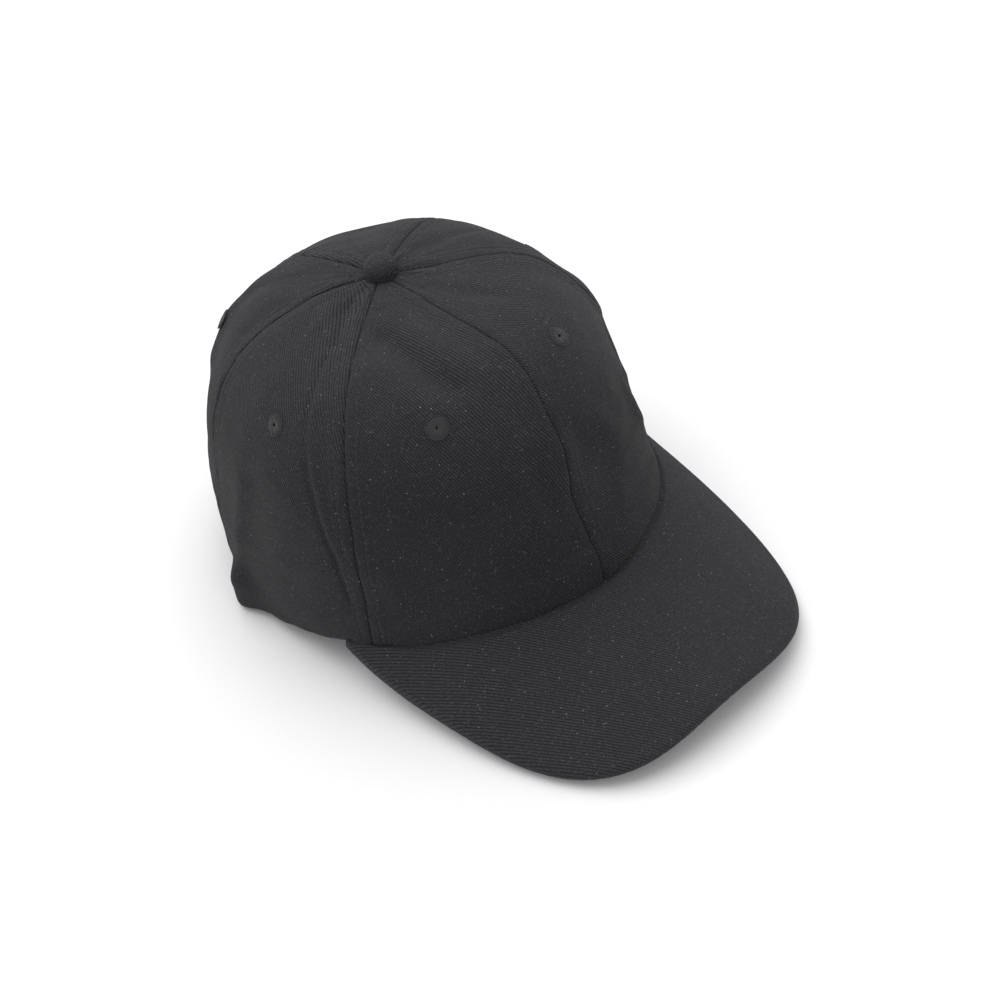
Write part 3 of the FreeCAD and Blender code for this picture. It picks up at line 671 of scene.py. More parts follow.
eyelet_places = {}
panel_meshes = {}
for panel, (start, end) in PANEL_ENDS.items():
    for side_name, side in SIDES.items():
        angles = side * crowded(start, end, PANEL_COLUMNS)
        base, up = lay(angles, 0.0, None, PANEL_ROWS, arch=panel == "back")
        uv, across = flat_cloth(base, up)
        seam_gap = np.minimum(across, across[-1:] - across)
        outer, normal = worn(base, up, seam_gap)
        eyelet = f"eyelet_{panel}_{side_name}"
        middle = sum(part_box(eyelet), Vector()) / 2 + Vector(EYELET_STRAYS.get(eyelet, (0, 0, 0))) * MM
        hole = nearest_index(outer, middle, 12)
        patch = (slice(hole[0] - 6, hole[0] + 7), slice(hole[1] - 6, hole[1] + 7))
        eyelet_places[eyelet] = (outer[hole].copy(), grid_normals(outer)[patch].mean(axis=(0, 1)))
        punch(outer, hole, EYELET_HOLE)
        inner = outer - normal * PANEL_CLOTH
        name = f"{panel}_{side_name}_cloth"
        mesh = sheet_mesh(
            name, outer, inner, hole, cloth=uv * np.array([side, 1]), seam=np.stack([seam_gap, up], -1))
        cloth = link(name, mesh, panel_cloth)
        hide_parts(f"{panel}_panel_{side_name}")
        panel_meshes[panel, side_name] = mesh
print("panel", len(mesh.polygons), "faces, eyelets at",
      {k[7:]: [round(v / MM) for v in spot] for k, (spot, _) in eyelet_places.items()})

# %% [markdown]
# ## Repeated threads
# Stitches and the eyelets' satin threads repeat along a path, so Geometry Nodes lay them: a short rounded
# thread is placed at every step of the path, turned along it, and made real.

# %% Node trees
class Tree:
    """A Geometry Nodes tree with named size inputs, built node by node."""

    def __init__(self, name, **sizes):
        self.group = bpy.data.node_groups.new(name, "GeometryNodeTree")
        sockets = self.group.interface
        sockets.new_socket("Geometry", in_out="OUTPUT", socket_type="NodeSocketGeometry")
        sockets.new_socket("Path", in_out="INPUT", socket_type="NodeSocketGeometry")
        self.identifiers = {}
        for key in sizes:
            made = sockets.new_socket(key, in_out="INPUT", socket_type="NodeSocketFloat")
            self.identifiers[key] = made.identifier
        self.sizes = sizes
        self.given = self.group.nodes.new("NodeGroupInput").outputs
        self.end = self.group.nodes.new("NodeGroupOutput")

    def join(self, value, slot):
        if isinstance(value, bpy.types.NodeSocket):
            self.group.links.new(value, slot)
        else:
            slot.default_value = value

    def node(self, kind, settings=(), **values):
        node = self.group.nodes.new(kind)
        for key, value in dict(settings).items():
            setattr(node, key, value)
        for key, value in values.items():
            self.join(value, node.inputs[key.replace("_", " ")])
        return node.outputs[0]

    def numbered(self, kind, settings, values, out=0):
        """A node whose sockets are found by number, because some of them share a name."""
        node = self.node(kind, settings).node
        for key, value in values.items():
            self.join(value, node.inputs[key])
        return node.outputs[out]

    def maths(self, operation, first, second):
        return self.numbered("ShaderNodeMath", {"operation": operation}, {0: first, 1: second})

    def finish(self, instances, material):
        real = self.node("GeometryNodeRealizeInstances", Geometry=instances)
        done = self.node("GeometryNodeSetMaterial", Geometry=real, Material=material)
        self.group.links.new(done, self.end.inputs[0])

    def grow(self, name, path):
        """The tree's result on a path mesh, as a plain mesh."""
        holder = bpy.data.objects.new(name + "_path", path)
        scene.collection.objects.link(holder)
        modifier = holder.modifiers.new("tree", "NODES")
        modifier.node_group = self.group
        for key, value in self.sizes.items():
            modifier[self.identifiers[key]] = value
        graph = bpy.context.evaluated_depsgraph_get()
        result = bpy.data.meshes.new_from_object(holder.evaluated_get(graph))
        bpy.data.objects.remove(holder)
        result.name = name
        return result


def thread_tree(name, material, lean=0.06, **sizes):
    """Threads of a Length and Radius laid every Pitch along a path, each a little out of line."""
    tree = Tree(name, **sizes)
    half = tree.maths("MULTIPLY", tree.given["Length"], 0.5)
    scale = tree.node("ShaderNodeCombineXYZ", X=tree.given["Radius"], Y=tree.given["Radius"], Z=half)
    ball = tree.node("GeometryNodeMeshUVSphere", Segments=6, Rings=5, Radius=1.0)
    stitch = tree.node("GeometryNodeTransform", Geometry=ball, Scale=scale)
    curve = tree.node("GeometryNodeMeshToCurve", Mesh=tree.given["Path"])
    line = tree.node("GeometryNodeResampleCurve", Curve=curve)
    resample = line.node
    for slot in resample.inputs:
        if slot.name == "Mode":
            slot.default_value = "Length"
        if slot.name == "Length":
            tree.group.links.new(tree.given["Pitch"], slot)
    if hasattr(resample, "mode"):
        resample.mode = "LENGTH"
    tangent = tree.node("GeometryNodeInputTangent")
    turn = tree.node("FunctionNodeAlignRotationToVector", {"axis": "Z"}, Vector=tangent)
    vectors = {"data_type": "FLOAT_VECTOR"}
    stray = tree.numbered("FunctionNodeRandomValue", vectors, {0: (-lean,) * 3, 1: (lean,) * 3, "Seed": 7})
    placed = tree.node("GeometryNodeInstanceOnPoints", Points=line, Instance=stitch, Rotation=turn)
    shaken = tree.node("GeometryNodeRotateInstances", Instances=placed, Rotation=stray)
    tree.finish(shaken, material)
    return tree


def path_mesh(name, *lines):
    """Edges along lines of points."""
    mesh = bpy.data.meshes.new(name)
    points = []
    edges = []
    for line in lines:
        first = len(points)
        points += [tuple(p) for p in line]
        edges += [(k, k + 1) for k in range(first, len(points) - 1)]
    mesh.from_pydata(points, edges, [])
    return mesh


STITCH = {"Pitch": 3.1 * MM, "Length": 2.3 * MM, "Radius": 0.19 * MM}


def sew(name, material, lines, body="cap"):
    """One piece with the stitches along all the lines."""
    tree = thread_tree(name, material, **STITCH)
    stitches = bpy.data.objects.new(name, tree.grow(name, path_mesh(name, *lines)))
    scene.collection.objects.link(stitches)
    stitches.data.shade_smooth()
    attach(stitches, body)
    print(name, len(stitches.data.polygons), "faces")
    return stitches


# %% Seam stitches
def seam_strip(angle, offsets, low, short=1.5 * MM, rows=160, arch=False):
    """Worn crown points along a seam, at offsets across it, and their normals."""
    points, lengths, end = meridian(angle)
    start = max(low, arch_start(points, lengths) + low) if arch else low
    stations = np.linspace(start, end - short, rows)
    rises = np.interp(stations, lengths, RISES)
    middle = wall(np.full(rows, angle), rises)
    per_degree = np.linalg.norm(wall(np.full(rows, angle + 0.5), rises)
                                - wall(np.full(rows, angle - 0.5), rises), axis=-1)
    reach = np.hypot(middle[:, 0], middle[:, 1] - APEX_BACK)
    width = np.minimum(1, 0.4 * reach / np.abs(offsets).max())
    across = offsets[:, None] * width
    base = wall(angle + across / per_degree, np.broadcast_to(rises, across.shape))
    up = np.broadcast_to(stations, across.shape)
    return worn(base, up, np.abs(across))


SEAMS = {"front_centre": 0.0, "back_centre": 180.0}
for side_name, side in SIDES.items():
    SEAMS[f"front_{side_name}"] = side * FRONT_SEAM
    SEAMS[f"back_{side_name}"] = side * REAR_SEAM
STITCH_ROWS = np.array([-2, -1, -0.5, 0.5, 1, 2]) * STITCH_GAP
seam_lines = []
for seam, angle in SEAMS.items():
    strip, normal = seam_strip(angle, STITCH_ROWS, 4 * MM, arch=seam == "back_centre")
    seam_lines += [strip[row, 6:-8] - normal[row, 6:-8] * 0.06 * MM for row in (1, 4)]
sew("seam_stitches", black_thread, seam_lines)

# %% [markdown]
# ## Eyelets
# An eyelet is a hole bound with satin stitch: radial threads that cover a flat cord, with a finer ring of
# stitches round the outside.  One ring is grown by Geometry Nodes and set on the cloth at each hole.

# %% Eyelet rings
EYELET_RADIUS = 4.2 * MM
EYELET_THROAT = 0.6 * MM
SATIN_THREADS, OUTER_STITCHES = 24, 30
SATIN_SHARE = 0.47  # a little under a half, so that the outer stitches stay in sight


def eyelet_tree():
    """Radial satin threads and a ring of small outer stitches."""
    tree = Tree("eyelet", Inner=EYELET_THROAT, Outer=EYELET_RADIUS, Thickness=0.36 * MM)
    inner, outer = tree.given["Inner"], tree.given["Outer"]
    middle = tree.maths("MULTIPLY", tree.maths("ADD", inner, outer), SATIN_SHARE)
    half = tree.maths("MULTIPLY", tree.maths("SUBTRACT", outer, inner), SATIN_SHARE)
    ball = tree.node("GeometryNodeMeshUVSphere", Segments=6, Rings=6, Radius=1.0)
    scale = tree.node("ShaderNodeCombineXYZ", X=tree.given["Thickness"], Y=tree.given["Thickness"], Z=half)
    satin = tree.node("GeometryNodeTransform", Geometry=ball, Scale=scale)
    bead_scale = tree.node("ShaderNodeCombineXYZ", X=0.2 * MM, Y=0.2 * MM, Z=0.42 * MM)
    bead = tree.node("GeometryNodeTransform", Geometry=ball, Scale=bead_scale)
    joined = tree.node("GeometryNodeJoinGeometry")
    place = tree.node("GeometryNodeInputPosition")
    crossed = {"operation": "CROSS_PRODUCT"}
    tangent = tree.numbered("ShaderNodeVectorMath", crossed, {0: place, 1: (0, 0, 1)})
    for count, radius, shape, aim in (
        (SATIN_THREADS, middle, satin, place), (OUTER_STITCHES, outer, bead, tangent),
    ):
        ring = tree.node("GeometryNodeMeshCircle", Vertices=count, Radius=radius)
        turn = tree.node("FunctionNodeAlignRotationToVector", {"axis": "Z"}, Vector=aim)
        floats = {"data_type": "FLOAT"}
        size = tree.numbered("FunctionNodeRandomValue", floats, {2: 0.88, 3: 1.08, "Seed": 3}, 1)
        laid = tree.node(
            "GeometryNodeInstanceOnPoints", Points=ring, Instance=shape, Rotation=turn, Scale=size)
        tree.group.links.new(laid, joined.node.inputs[0])
    tree.finish(joined, eyelet_thread)
    return tree


PAD_SIDES = 10
PAD_SINK = 0.3 * MM
RING_LIFT = 0.25 * MM


def pad_ring(inner, outer, height, segments=48):
    """The cord under the satin: a flat ring with a rounded section."""
    turns = np.linspace(0, 2 * math.pi, segments, endpoint=False)
    section = np.linspace(0, 2 * math.pi, PAD_SIDES, endpoint=False)
    radius = (inner + outer) / 2 + (outer - inner) / 2 * np.cos(section)
    points = [(r * math.cos(t), r * math.sin(t), height * math.sin(q) - PAD_SINK)
              for t in turns for r, q in zip(radius, section)]
    index = np.arange(len(points)).reshape(segments, PAD_SIDES)
    ahead = np.roll(index, -1, axis=0)
    quads = np.stack([index, ahead, np.roll(ahead, -1, 1), np.roll(index, -1, 1)], -1).reshape(-1, 4)
    return points, quads.tolist()


ring_mesh = eyelet_tree().grow("eyelet_threads", path_mesh("eyelet_seed", [(0, 0, 0), (0, 0, MM)]))
ring_points = np.array([v.co for v in ring_mesh.vertices])
ring_faces = [list(p.vertices) for p in ring_mesh.polygons]
pad_points, pad_faces = pad_ring(EYELET_THROAT, EYELET_RADIUS * 0.95, 0.34 * MM)
for eyelet, (spot, normal) in eyelet_places.items():
    up_way = Vector(normal)
    turn = up_way.to_track_quat("Z", "Y").to_matrix().to_4x4()
    turn.translation = Vector(spot) + up_way.normalized() * RING_LIFT
    mesh = bpy.data.meshes.new(eyelet + "_satin")
    faces = ring_faces + [[k + len(ring_points) for k in face] for face in pad_faces]
    mesh.from_pydata([tuple(p) for p in ring_points] + pad_points, [], faces)
    mesh.transform(turn)
    satin = link(eyelet + "_satin", mesh, eyelet_thread)
    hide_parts(eyelet)
print("eyelet", len(mesh.polygons), "faces")

# %% [markdown]
# ## Brim
# The real brim is a plastic board between two cloth covers that are sewn together at its edge.  From outside
# they show as one padded, rolled edge, so the skin is one closed shell, swept from the crown's seam to the
# outline, rounded over and brought back underneath.  The board is a thinner shell inside it.

# %% Brim skin
BRIM_END_X = float(plan(np.array([BRIM_END]))[0][0]) + 0.8 * MM
BRIM_END_Y = float(plan(np.array([BRIM_END]))[1][0])
BRIM_DEPTH = 3.9 * MM
BRIM_TUCK = 2.0 * MM  # how far the brim runs in under the crown's edge
BRIM_DRAWN_RIGHT, BRIM_DRAWN_LEFT = 3.6 * MM, 1.2 * MM  # how far each side's edge is drawn in
BRIM_STRETCH = 1.6 * MM
BRIM_COLUMNS, BRIM_ROWS, BRIM_ROUND = 301, 110, 13


def brim_outline(side):
    """Inner and outer points of the brim in plan, side from -1 to 1."""
    x, y = plan(side * BRIM_END)
    clear = 1 - BRIM_TUCK / np.hypot(x, y)
    inner = np.stack([x * clear, y * clear], -1)
    turn = side * math.pi / 2
    length = FRONT_DEPTH + BRIM_LENGTH + BRIM_END_Y
    power = 2 / BRIM_CORNER
    cosine = np.clip(np.cos(turn), 0, None)
    outer = np.stack([BRIM_END_X * signed_power(np.sin(turn), power),
                      BRIM_END_Y - length * cosine ** power], -1)
    drawn_in = np.where(side < 0, BRIM_DRAWN_RIGHT, BRIM_DRAWN_LEFT)
    drawn_in = drawn_in * smooth(np.abs(outer[:, 0]), 0.03, 0.075)
    outer[:, 0] -= np.sign(side) * drawn_in * smooth(-outer[:, 1], -BRIM_END_Y, 0.1)
    outer[:, 1] -= BRIM_STRETCH * smooth(-outer[:, 1], 0.1, 0.14)
    return inner, outer


def brim_shell(name, low, high, inset):
    """A closed shell between two depths: over the top, round the edge and back underneath."""
    side = np.sin(np.linspace(-1, 1, BRIM_COLUMNS) * math.pi / 2)
    inner, outer = brim_outline(side)
    span = outer - inner
    reach = np.linalg.norm(span, axis=-1)
    way = span / np.maximum(reach, 1e-6)[:, None]
    half = (high - low) / 2
    reach = np.maximum(reach - inset, 0.3 * reach)
    edge = np.maximum(reach - half, reach * 0.3)
    run = np.linspace(0, 1, BRIM_ROWS)
    rows = []
    for share in run:
        crease = 1.1 * MM * np.exp(-((edge * share - 1.6 * MM) / (1.6 * MM)) ** 2)
        rows.append((edge * share, edge * share, low + crease))
    for angle in np.linspace(0, math.pi, BRIM_ROUND)[1:-1]:
        out = edge + np.minimum(half, reach * 0.7) * math.sin(angle)
        rows.append((out, edge + half * angle, low + half * (1 - math.cos(angle)) + 0 * edge))
    for share in run[::-1]:
        rows.append((edge * share, edge * (2 - share) + half * math.pi, high + 0 * edge))
    grid = []
    flats = []
    for out, unrolled, depth in rows:
        x, y = (inner + way * out[:, None]).T
        slope = x / np.sqrt(BRIM_CURVE ** 2 - x ** 2)
        upright = np.sqrt(1 + slope ** 2 + BRIM_SLOPE ** 2)
        grid.append(np.stack([x, y, brim_height(x, y) - depth * upright], -1))
        flats.append(inner + way * unrolled[:, None])
    grid = np.array(grid)
    grid[..., 2] += 0.35 * MM * waves(grid, 70 * MM, 21) + 0.07 * MM * waves(grid, 14 * MM, 23)
    columns, count = grid.shape[:2]
    ring = np.arange(columns * count).reshape(columns, count)
    back = np.stack([ring[-1, :-1], ring[-1, 1:], ring[0, 1:], ring[0, :-1]], -1)[:, ::-1]
    ends = []
    for k in (0, -1):
        loop = ring[:, k]
        ends.append(np.stack([loop[:columns // 2 - 1], loop[1:columns // 2],
                              loop[::-1][1:columns // 2], loop[::-1][:columns // 2 - 1]], -1))
    quads = np.concatenate([grid_quads(columns, count), back, ends[0][:, ::-1], ends[1]])[:, ::-1]
    return mesh_from(name, grid.reshape(-1, 3), quads, cloth=np.array(flats).reshape(-1, 2))


brim = link("brim_skin", brim_shell("brim_skin", 0, BRIM_DEPTH, 0), brim_cloth)
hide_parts("brim_top_cover", "brim_under_cover")
board = Shader("brim_board_plastic", Roughness=0.5, Base_Color=(0.05, 0.05, 0.05, 1))
BOARD_TOP, BOARD_BOTTOM, BOARD_INSET = 1.2 * MM, 2.8 * MM, 2.4 * MM
board_mesh = brim_shell("brim_stiffener", BOARD_TOP, BOARD_BOTTOM, BOARD_INSET)
stiffener = link("brim_stiffener", board_mesh, board.material)
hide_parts("brim_board")
print("brim", len(brim.data.polygons), "faces")

# %% [markdown]
# ## Button
# The button is a steel dome covered with a disc of the crown's cloth, gathered under its edge.  A profile
# turned round its axis gives the shape, and a faint wave on the radius stands for the gathers.

# %% Button
BUTTON_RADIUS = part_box("button_cover")[1].x - 0.4 * MM
BUTTON_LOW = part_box("button_cover")[0].z - 0.4 * MM
BUTTON_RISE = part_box("button_cover")[1].z - BUTTON_LOW
DOME_DROP = 0.62  # the share of the height at which the dome meets the rolled edge


def button_mesh(name):
    """A padded dome whose edge rolls under and is gathered."""
    around = np.linspace(0, 2 * math.pi, 129)[:-1]
    profile = [(math.sin(t) ** 0.86, 1 - DOME_DROP * (1 - math.cos(t)) ** 1.1)
               for t in np.linspace(0.01, 1.56, 34)]
    profile += [(1 - 0.05 * (k / 8) ** 2, 1 - DOME_DROP - 0.05 * k) for k in range(1, 9)]
    grid = []
    flats = []
    for share, height in profile:
        gather = 1 + 0.012 * np.sin(around * 17) * share ** 6
        radius = BUTTON_RADIUS * share * gather
        grid.append(np.stack([
            radius * np.cos(around), APEX_BACK + radius * np.sin(around),
            np.full(len(around), BUTTON_LOW + BUTTON_RISE * height)], -1))
        flat = np.stack([radius * np.cos(around), radius * np.sin(around)], -1)
        flats.append(flat * (1.35 - 0.35 * height))
    grid = np.array(grid)
    flats = np.array(flats)
    rings, count = grid.shape[:2]
    index = np.arange(rings * count).reshape(rings, count)
    ahead = np.roll(index, -1, axis=1)
    quads = np.stack([index[:-1], index[1:], ahead[1:], ahead[:-1]], -1).reshape(-1, 4)
    return mesh_from(name, grid.reshape(-1, 3), quads, cloth=flats.reshape(-1, 2))


button = link("button_cloth", button_mesh("button_cloth"), button_cloth)
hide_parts("button_cover")
print("button", round(2 * BUTTON_RADIUS / MM, 1), "mm across")

# %% [markdown]
# ## Inside the crown
# Cotton tapes cover the seams, a padded sweatband runs round the rim and carries a blank label, and a tape
# binds the rear opening.  They could keep their clean CAD shapes, but would then poke through the worn
# cloth, so all of them follow it at their own depth below its face.

# %% Seam tapes
TAPE_HALF = 8 * MM
TAPE_DEPTH = 1.15 * MM
TAPE_CLOTH = 0.45 * MM
TAPE_LOW, BACK_TAPE_LOW, TAPE_SHORT = 1.5 * MM, 11 * MM, 12 * MM
TAPE_COLUMNS, TAPE_ROWS, TAPE_LENGTH = 21, 130, 150 * MM
for seam, angle in SEAMS.items():
    at_arch = seam == "back_centre"
    offsets = np.linspace(-TAPE_HALF, TAPE_HALF, TAPE_COLUMNS)
    low = BACK_TAPE_LOW if at_arch else TAPE_LOW
    strip, normal = seam_strip(angle, offsets, low, TAPE_SHORT, TAPE_ROWS, arch=at_arch)
    along = np.broadcast_to(np.linspace(0, TAPE_LENGTH, TAPE_ROWS), strip.shape[:2])
    uv = np.stack([np.broadcast_to(offsets[:, None], along.shape), along], -1)
    tape = link(f"tape_{seam}", sheet_mesh(
        f"tape_{seam}", strip - normal * TAPE_DEPTH, strip - normal * (TAPE_DEPTH + TAPE_CLOTH),
        cloth=uv), tape_cloth)
    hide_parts(f"seam_tape_{seam}")
print("tapes", len(SEAMS))

# %% Sweatband and label
STRAP_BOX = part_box("strap")
STRAP_LOW, STRAP_HIGH = STRAP_BOX[0].z, STRAP_BOX[1].z
STRAP_CENTRE = 20.78 * MM
STRAP_RADIUS = STRAP_BOX[1].y - STRAP_CENTRE
STRAP_CLOTH = 1.6 * MM
SWEATBAND_END = 153.75
SWEATBAND_WIDTH = 32 * MM
BAND_LOW, BAND_INSET, BAND_CLOTH = 0.8 * MM, 2.4 * MM, 0.9 * MM
BAND_COLUMNS, BAND_ROWS = 331, 26


def band_layer(angles, low, high, rows, depth):
    """A layer of the sweatband's strip, at a depth below its outer face that may vary with height."""
    base, up = lay(angles, low, high, rows)
    normal = grid_normals(base)
    far = np.ones(up.shape)
    relief = crown_relief(base, up, far, far) - seam_profile(far)
    behind = np.hypot(base[..., 0], base[..., 1] - STRAP_CENTRE) - (STRAP_RADIUS - STRAP_CLOTH - 0.4 * MM)
    ease = smooth(np.abs(angles), 96, 122)[:, None]
    inset = BAND_INSET + np.maximum(behind - BAND_INSET, 0) * ease
    return base + normal * (relief - inset - depth)[..., None] + drift(base), up


def puffed(up):
    """Extra thickness between the sweatband's two rows of stitches."""
    share = np.clip(up / SWEATBAND_WIDTH, 0, 1)
    return 0.35 * MM * np.clip(np.sin(math.pi * share) * 2.5, 0, 1)


band_angles = np.linspace(-SWEATBAND_END, SWEATBAND_END, BAND_COLUMNS)
outer, up = band_layer(band_angles, BAND_LOW, SWEATBAND_WIDTH, BAND_ROWS, 0)
inner, _ = band_layer(band_angles, BAND_LOW, SWEATBAND_WIDTH, BAND_ROWS, BAND_CLOTH + puffed(up))
uv, _ = flat_cloth(outer, up)
sweatband = link("sweatband_cloth", sheet_mesh("sweatband_cloth", outer, inner, cloth=uv), band_cloth)
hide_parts("sweatband")
sew("sweatband_stitches", black_thread, [inner[2:-2, row] for row in (2, -3)])

LABEL_ANGLE, LABEL_TURN = 84.0, 10.1
LABEL_LOW, LABEL_HIGH = 14 * MM, 30 * MM
LABEL_DEPTH, LABEL_CLOTH = 1.3 * MM, 0.35 * MM
LABEL_COLUMNS, LABEL_ROWS = 41, 22
label_angles = np.linspace(LABEL_ANGLE - LABEL_TURN, LABEL_ANGLE + LABEL_TURN, LABEL_COLUMNS)
outer, up = band_layer(label_angles, LABEL_LOW, LABEL_HIGH, LABEL_ROWS, LABEL_DEPTH)
inner, _ = band_layer(label_angles, LABEL_LOW, LABEL_HIGH, LABEL_ROWS, LABEL_DEPTH + LABEL_CLOTH)
uv, _ = flat_cloth(outer, up)
satin = Shader("label_satin", Roughness=0.45, Sheen_Weight=0.3)
SATIN_LOW, SATIN_HIGH = (0.5, 0.5, 0.49, 1), (0.62, 0.62, 0.6, 1)
satin.feed(Base_Color=satin.mix(satin.noise(1800, stretch=(1, 1, 12)), SATIN_LOW, SATIN_HIGH))
label = link("label_satin_patch", sheet_mesh("label_satin_patch", outer, inner, cloth=uv), satin.material)
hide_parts("blank_label")
print("label", round((LABEL_HIGH - LABEL_LOW) / MM), "mm high")

# %% Arch binding
ARCH_TURN = np.linspace(0, math.pi, 121)
arch_trees = [BVHTree.FromPolygons(
    [v.co for v in panel_meshes["back", side].vertices],
    [p.vertices for p in panel_meshes["back", side].polygons]) for side in SIDES]


def arch_grid(offsets, depth):
    """Points beside the rear arch, at offsets from its edge and a depth below the cloth's face."""
    leg = np.linspace(10.5 * MM, ARCH_SPRING, 5)[:-1]
    path = [(ARCH_HALF, z, 1, 0) for z in leg]
    path += [(ARCH_HALF * math.cos(t), ARCH_SPRING + ARCH_HALF * math.sin(t), math.cos(t), math.sin(t))
             for t in ARCH_TURN]
    path += [(-ARCH_HALF, z, -1, 0) for z in leg[::-1]]
    grid = np.zeros((len(path), len(offsets), 3))
    for i, (x, z, way_x, way_z) in enumerate(path):
        for j, offset in enumerate(offsets):
            start = Vector((x + way_x * offset, 0.2, z + way_z * offset))
            hits = [tree.ray_cast(start, Vector((0, -1, 0)), 0.16) for tree in arch_trees]
            hits = [hit for hit in hits if hit[0] is not None]
            if hits:
                spot, normal = max(hits, key=lambda hit: hit[0].y)[:2]
                grid[i, j] = spot - normal * depth
            else:
                grid[i, j] = np.nan
    known = ~np.isnan(grid[..., 0])
    for j in range(len(offsets)):
        good = np.nonzero(known[:, j])[0]
        for k in range(3):
            grid[:, j, k] = np.interp(np.arange(len(path)), good, grid[good, j, k])
    return grid


BINDING_DEPTH, BINDING_CLOTH = 1.2 * MM, 0.55 * MM
binding_offsets = np.linspace(1.2 * MM, 10 * MM, 12)
outer = arch_grid(binding_offsets, BINDING_DEPTH)
inner = arch_grid(binding_offsets, BINDING_DEPTH + BINDING_CLOTH)
steps = np.cumsum(np.linalg.norm(np.diff(outer[:, 0], axis=0, prepend=outer[:1, 0]), axis=-1))
uv = np.stack(np.broadcast_arrays(steps[:, None], binding_offsets), -1)
binding = link("binding_tape", sheet_mesh("binding_tape", outer, inner, cloth=uv), tape_cloth)
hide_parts("arch_binding")
arch_lines = arch_grid(np.array([2.6 * MM, 8.6 * MM]), 0.06 * MM)
sew("arch_stitches", black_thread, [arch_lines[:, 0], arch_lines[:, 1]])

# %% [markdown]
# ## Strap and buckle
# The strap is a band of the crown's cloth, folded and sewn along both edges.  The tab is a narrow strip that
# goes round the buckle's bar and back on itself.  Each is a path in plan with a rounded section swept along
# it, which keeps the edges soft at every turn.  The strap rides on its own body, so it can slide.


# %% Strap and tab
def swept_band(name, path, thickness, low, high, material, body, sections=44):
    """A band with rounded edges along a path in plan."""
    path = np.asarray(path)
    way = np.gradient(path, axis=0)
    way /= np.linalg.norm(way, axis=-1, keepdims=True)
    side = np.stack([way[:, 1], -way[:, 0]], -1)
    turn = np.linspace(0, 2 * math.pi, sections, endpoint=False)
    across = signed_power(np.cos(turn), 0.22) * (high - low) / 2
    out = signed_power(np.sin(turn), 0.55) * thickness / 2
    length = np.concatenate([[0], np.cumsum(np.linalg.norm(np.diff(path, axis=0), axis=-1))])
    rings = [(k, 1.0, 0.0) for k in range(len(path))]
    rings = [(0, 0.45, -0.5), (0, 0.85, -0.3)] + rings + [(-1, 0.85, 0.3), (-1, 0.45, 0.5)]
    points = []
    cloth = []
    for k, scale, ahead in rings:
        centre = path[k] + way[k] * ahead * thickness
        shrink = (1 - scale) * thickness / 2
        for rise, lift in zip(across * (1 - 2 * shrink / (high - low)), out * scale):
            points.append((*(centre + side[k] * lift), (low + high) / 2 + rise))
            cloth.append((length[k], rise))
    count = len(rings)
    index = np.arange(count * sections).reshape(count, sections)
    ahead = np.roll(index, -1, axis=1)
    quads = np.stack([index[:-1], ahead[:-1], ahead[1:], index[1:]], -1).reshape(-1, 4).tolist()
    faces = quads + [index[0, ::-1].tolist(), index[-1].tolist()]
    mesh = bpy.data.meshes.new(name)
    mesh.from_pydata(points, [], faces)
    shell = bmesh.new()
    shell.from_mesh(mesh)
    bmesh.ops.recalc_face_normals(shell, faces=shell.faces)
    shell.to_mesh(mesh)
    shell.free()
    layer = mesh.uv_layers.new(name="cloth")
    for loop in mesh.loops:
        layer.data[loop.index].uv = cloth[loop.vertex_index]
    return link(name, mesh, material, body)


def behind_at(turn, radius):
    """A point in plan round the strap's centre, turn in degrees from straight behind."""
    return radius * math.sin(math.radians(turn)), STRAP_CENTRE + radius * math.cos(math.radians(turn))


STRAP_TURN = 45.6
strap_radius = STRAP_RADIUS - STRAP_CLOTH / 2
strap_path = [behind_at(t, strap_radius) for t in np.linspace(-STRAP_TURN, STRAP_TURN, 181)]
strap = swept_band("strap_cloth", strap_path, STRAP_CLOTH, STRAP_LOW, STRAP_HIGH, band_cloth, "strap")
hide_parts("strap")
STRAP_SEAM, TAB_SEAM = 2.4 * MM, 2 * MM  # the stitches' distance from the edges
strap_rows = [[(*behind_at(t, STRAP_RADIUS - 0.03 * MM), z) for t in np.linspace(-44, 44, 90)]
              for z in (STRAP_LOW + STRAP_SEAM, STRAP_HIGH - STRAP_SEAM)]
sew("strap_stitches", black_thread, strap_rows, body="strap")

TAB_PLY = 0.6 * MM
TAB_BAR_TURN = -25.5
TAB_LENGTH = 14 * MM
BAR_HEIGHT = 2.0 * MM
BAR_LOOP = 1.3 * MM
TAB_UNDER, TAB_OVER = 0.72 * MM, 1.34 * MM  # each ply's height above the strap's face
under = [(s, TAB_UNDER) for s in np.linspace(-TAB_LENGTH, -0.4 * MM, 30)]
loop = [(BAR_LOOP * math.cos(t), BAR_HEIGHT + BAR_LOOP * math.sin(t))
        for t in np.linspace(-math.pi / 2, math.pi / 2, 14)]
over = [(s, TAB_OVER + (BAR_HEIGHT + BAR_LOOP - TAB_OVER) * float(smooth(np.array(s), -5 * MM, 0)))
        for s in np.linspace(-0.6 * MM, -TAB_LENGTH + 0.5 * MM, 30)]
tab_path = [behind_at(TAB_BAR_TURN + math.degrees(s / STRAP_RADIUS), STRAP_RADIUS + height)
            for s, height in under + loop + over]
tab_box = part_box("buckle_tab")
tab = swept_band("tab_cloth", tab_path, TAB_PLY, tab_box[0].z, tab_box[1].z, band_cloth, "cap")
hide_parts("buckle_tab")
tab_rows = [[(*behind_at(t, STRAP_RADIUS + 1.6 * MM), z) for t in np.linspace(-35, -30, 8)]
            for z in (tab_box[0].z + TAB_SEAM, tab_box[1].z - TAB_SEAM)]
sew("tab_stitches", black_thread, tab_rows)

# %% [markdown]
# ## Metal
# The buckle and the button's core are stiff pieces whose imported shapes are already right, so they stay as
# they are and only get a finish: worn nickel with a faint grain, and plain steel for what is hidden.

